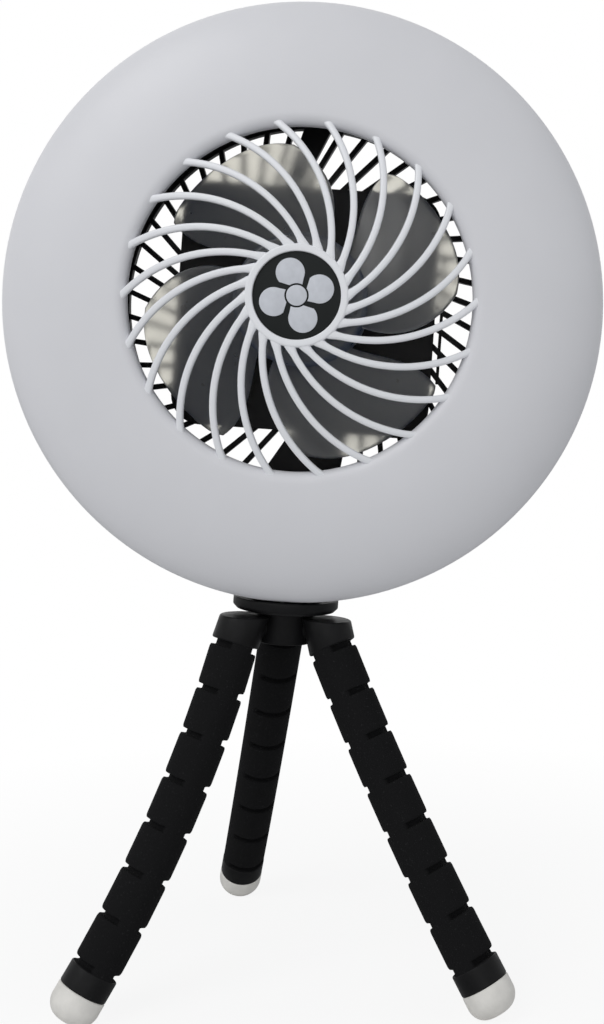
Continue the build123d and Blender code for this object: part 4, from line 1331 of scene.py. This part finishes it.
    def tip(self) -> list[bpy.types.Object]:
        """The end cap and the soft foot, flattened on the ground."""
        last = self.blocks + 1
        place = self.frame(last)
        top, joint = -self.notch_width / 2, -self.notch_width / 2 - self.cap_length
        r = self.cap_round
        outline = [(0.0, joint), (self.cap_radius - r, joint), (self.cap_radius, joint + r)]
        outline += arc((self.cap_radius - r, top - r), (r, r), 0, 90, 3) + [(0.0, top)]
        cap = Form()
        cap.spin(outline, TUBE_STEPS)
        cap_piece = cap.finish(f"{self.name}_tip_cap", place, TRIPOD_BLACK)
        bottom, corner, full = joint - self.foot_length, self.foot_corner, self.foot_radius
        inset, drop = self.foot_chamfer
        outline = [(0.0, joint), (full - inset, joint), (full, joint - drop)]
        outline += arc((full - corner, bottom + corner), (corner, corner), 0, -90, steps=14) + [(0.0, bottom)]
        foot = Form()
        foot.spin(outline, TUBE_STEPS)
        ground = (place @ Matrix.Scale(MM, 4)).inverted() @ Vector((0, 0, self.ground))
        normal = place.to_3x3().inverted() @ Vector((0, 0, -1))
        foot.cut(ground, normal)
        foot_piece = foot.finish(f"{self.name}_tip_foot", place, FOOT_WHITE, sharp=40.0)
        seat(cap_piece, self.body(last), "tripod_black", f"{self.name}_end_cap")
        seat(foot_piece, self.body(last), "foot_white", f"{self.name}_foot")
        return [cap_piece, foot_piece]

    def build(self) -> list[bpy.types.Object]:
        """The whole leg from its cup to its foot."""
        pieces = [self.cup()]
        for number in range(1, self.blocks + 2):
            pieces += [self.sleeve(number), self.core(number)]
        return pieces + self.tip()


# ------------------------------------------------------------------------------------ carried-over nodes
@dataclass
class CarriedNodes:
    """The CAD nodes that stay as they are and get their finish."""

    nodes: dict
    record: dict

    def dress(self) -> None:
        """Gives each node the finish of its slot."""
        slots = {row["node"]: row["material_slot"] for row in self.record["subparts"]}
        for name, node in self.nodes.items():
            finish = CAD_FINISHES[slots[name]]
            node.data.materials.clear()
            node.data.materials.append(finish.material())
            LOG.info("%s: %s", name, finish.label)


# ------------------------------------------------------------------------------------ studio
@dataclass(frozen=True)
class SoftLamp:
    """A square soft lamp: its place, the point that it faces and its side in metres, its power in watts."""

    name: str
    place: tuple[float, float, float]
    aim: tuple[float, float, float]
    size: float
    power: float

    def hang(self) -> None:
        """Adds the lamp."""
        data = bpy.data.lights.new(self.name, "AREA")
        data.shape, data.size, data.energy = "SQUARE", self.size, self.power
        lamp = bpy.data.objects.new(self.name, data)
        lamp.location = self.place
        lamp.rotation_euler = (Vector(self.aim) - Vector(self.place)).to_track_quat("-Z", "Y").to_euler()
        bpy.context.scene.collection.objects.link(lamp)


@dataclass
class Studio:
    """Floor, backdrop, lamps and camera."""

    eye: tuple[float, float, float] = (0.045, -0.55904, 0.235)
    focal_pixels: float = 1253.0
    frame_pixels: tuple[int, int] = (604, 1024)
    centre_pixels: tuple[float, float] = (411.0, 423.5)
    sensor: float = 36.0
    reach: tuple[float, float] = (0.01, 50.0)
    floor_size: float = 6.0
    ambient: float = 0.46
    sky: tuple[float, float, float] = (0.96, 0.98, 1.0)
    lamps: tuple[SoftLamp, ...] = (
        SoftLamp("key", (-0.75, -0.9, 1.25), (0.0, 0.0, 0.25), 0.8, 7.0),
        SoftLamp("front", (0.1, -1.6, 0.45), (0.0, 0.0, 0.25), 1.2, 3.0),
    )

    def camera(self) -> None:
        """A level camera at the height of the lower ring, its frame shifted as the view needs."""
        width, height = self.frame_pixels
        data = bpy.data.cameras.new("camera")
        data.sensor_width = self.sensor
        data.lens = data.sensor_width * self.focal_pixels / height
        data.shift_x = (width / 2 - self.centre_pixels[0]) / height
        data.shift_y = (self.centre_pixels[1] - height / 2) / height
        data.clip_start, data.clip_end = self.reach
        camera = bpy.data.objects.new("camera", data)
        camera.location = self.eye
        camera.rotation_euler = (math.radians(90.0), 0.0, 0.0)
        bpy.context.scene.collection.objects.link(camera)
        bpy.context.scene.camera = camera

    def world(self) -> None:
        """White to the camera and to reflections, a plain grey light to the rest."""
        world = bpy.data.worlds.new("studio")
        world.use_nodes = True
        tree = world.node_tree
        tree.nodes.clear()
        path = tree.nodes.new("ShaderNodeLightPath")
        seen = path.outputs["Is Camera Ray"]
        for ray in ("Is Glossy Ray", "Is Transmission Ray"):
            either = tree.nodes.new("ShaderNodeMath")
            either.operation = "MAXIMUM"
            tree.links.new(seen, either.inputs[0])
            tree.links.new(path.outputs[ray], either.inputs[1])
            seen = either.outputs[0]
        white = tree.nodes.new("ShaderNodeBackground")
        white.inputs["Strength"].default_value = 1.0
        white.inputs["Color"].default_value = (1, 1, 1, 1)
        grey = tree.nodes.new("ShaderNodeBackground")
        grey.inputs["Color"].default_value = (*self.sky, 1.0)
        grey.inputs["Strength"].default_value = self.ambient
        mix = tree.nodes.new("ShaderNodeMixShader")
        output = tree.nodes.new("ShaderNodeOutputWorld")
        tree.links.new(seen, mix.inputs[0])
        tree.links.new(grey.outputs[0], mix.inputs[1])
        tree.links.new(white.outputs[0], mix.inputs[2])
        tree.links.new(mix.outputs[0], output.inputs[0])
        bpy.context.scene.world = world

    def floor(self) -> None:
        """A pale floor that keeps the shadow and runs into the white backdrop."""
        form = Form()
        bmesh.ops.create_grid(form.bm, x_segments=1, y_segments=1, size=self.floor_size / 2 / MM)
        piece = form.finish("floor", Matrix.Identity(4), FLOOR)

    def build(self) -> None:
        """Everything round the fan."""
        self.camera()
        self.world()
        for lamp in self.lamps:
            lamp.hang()
        self.floor()
        bpy.context.scene.view_settings.view_transform = "Standard"


def main() -> None:
    """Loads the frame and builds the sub-assemblies in order."""
    logging.basicConfig(level=logging.INFO, format="%(message)s")
    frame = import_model()
    joints = Joints(frame["joints"])
    fan, stand = joints.fan_frame(), joints.stand_frame()
    Studio().build()
    CarriedNodes(frame["nodes"], frame["record"]).dress()
    parts = [
        FrontCover(fan),
        Badge(fan),
        Impeller(fan),
        TripodHead(stand),
        *(Leg(side, joints, stand) for side in LegSide),
    ]
    for part in parts:
        pieces = part.build()
        LOG.info("%s: %d pieces", type(part).__name__, len(pieces))


if __name__ == "__main__":
    main()
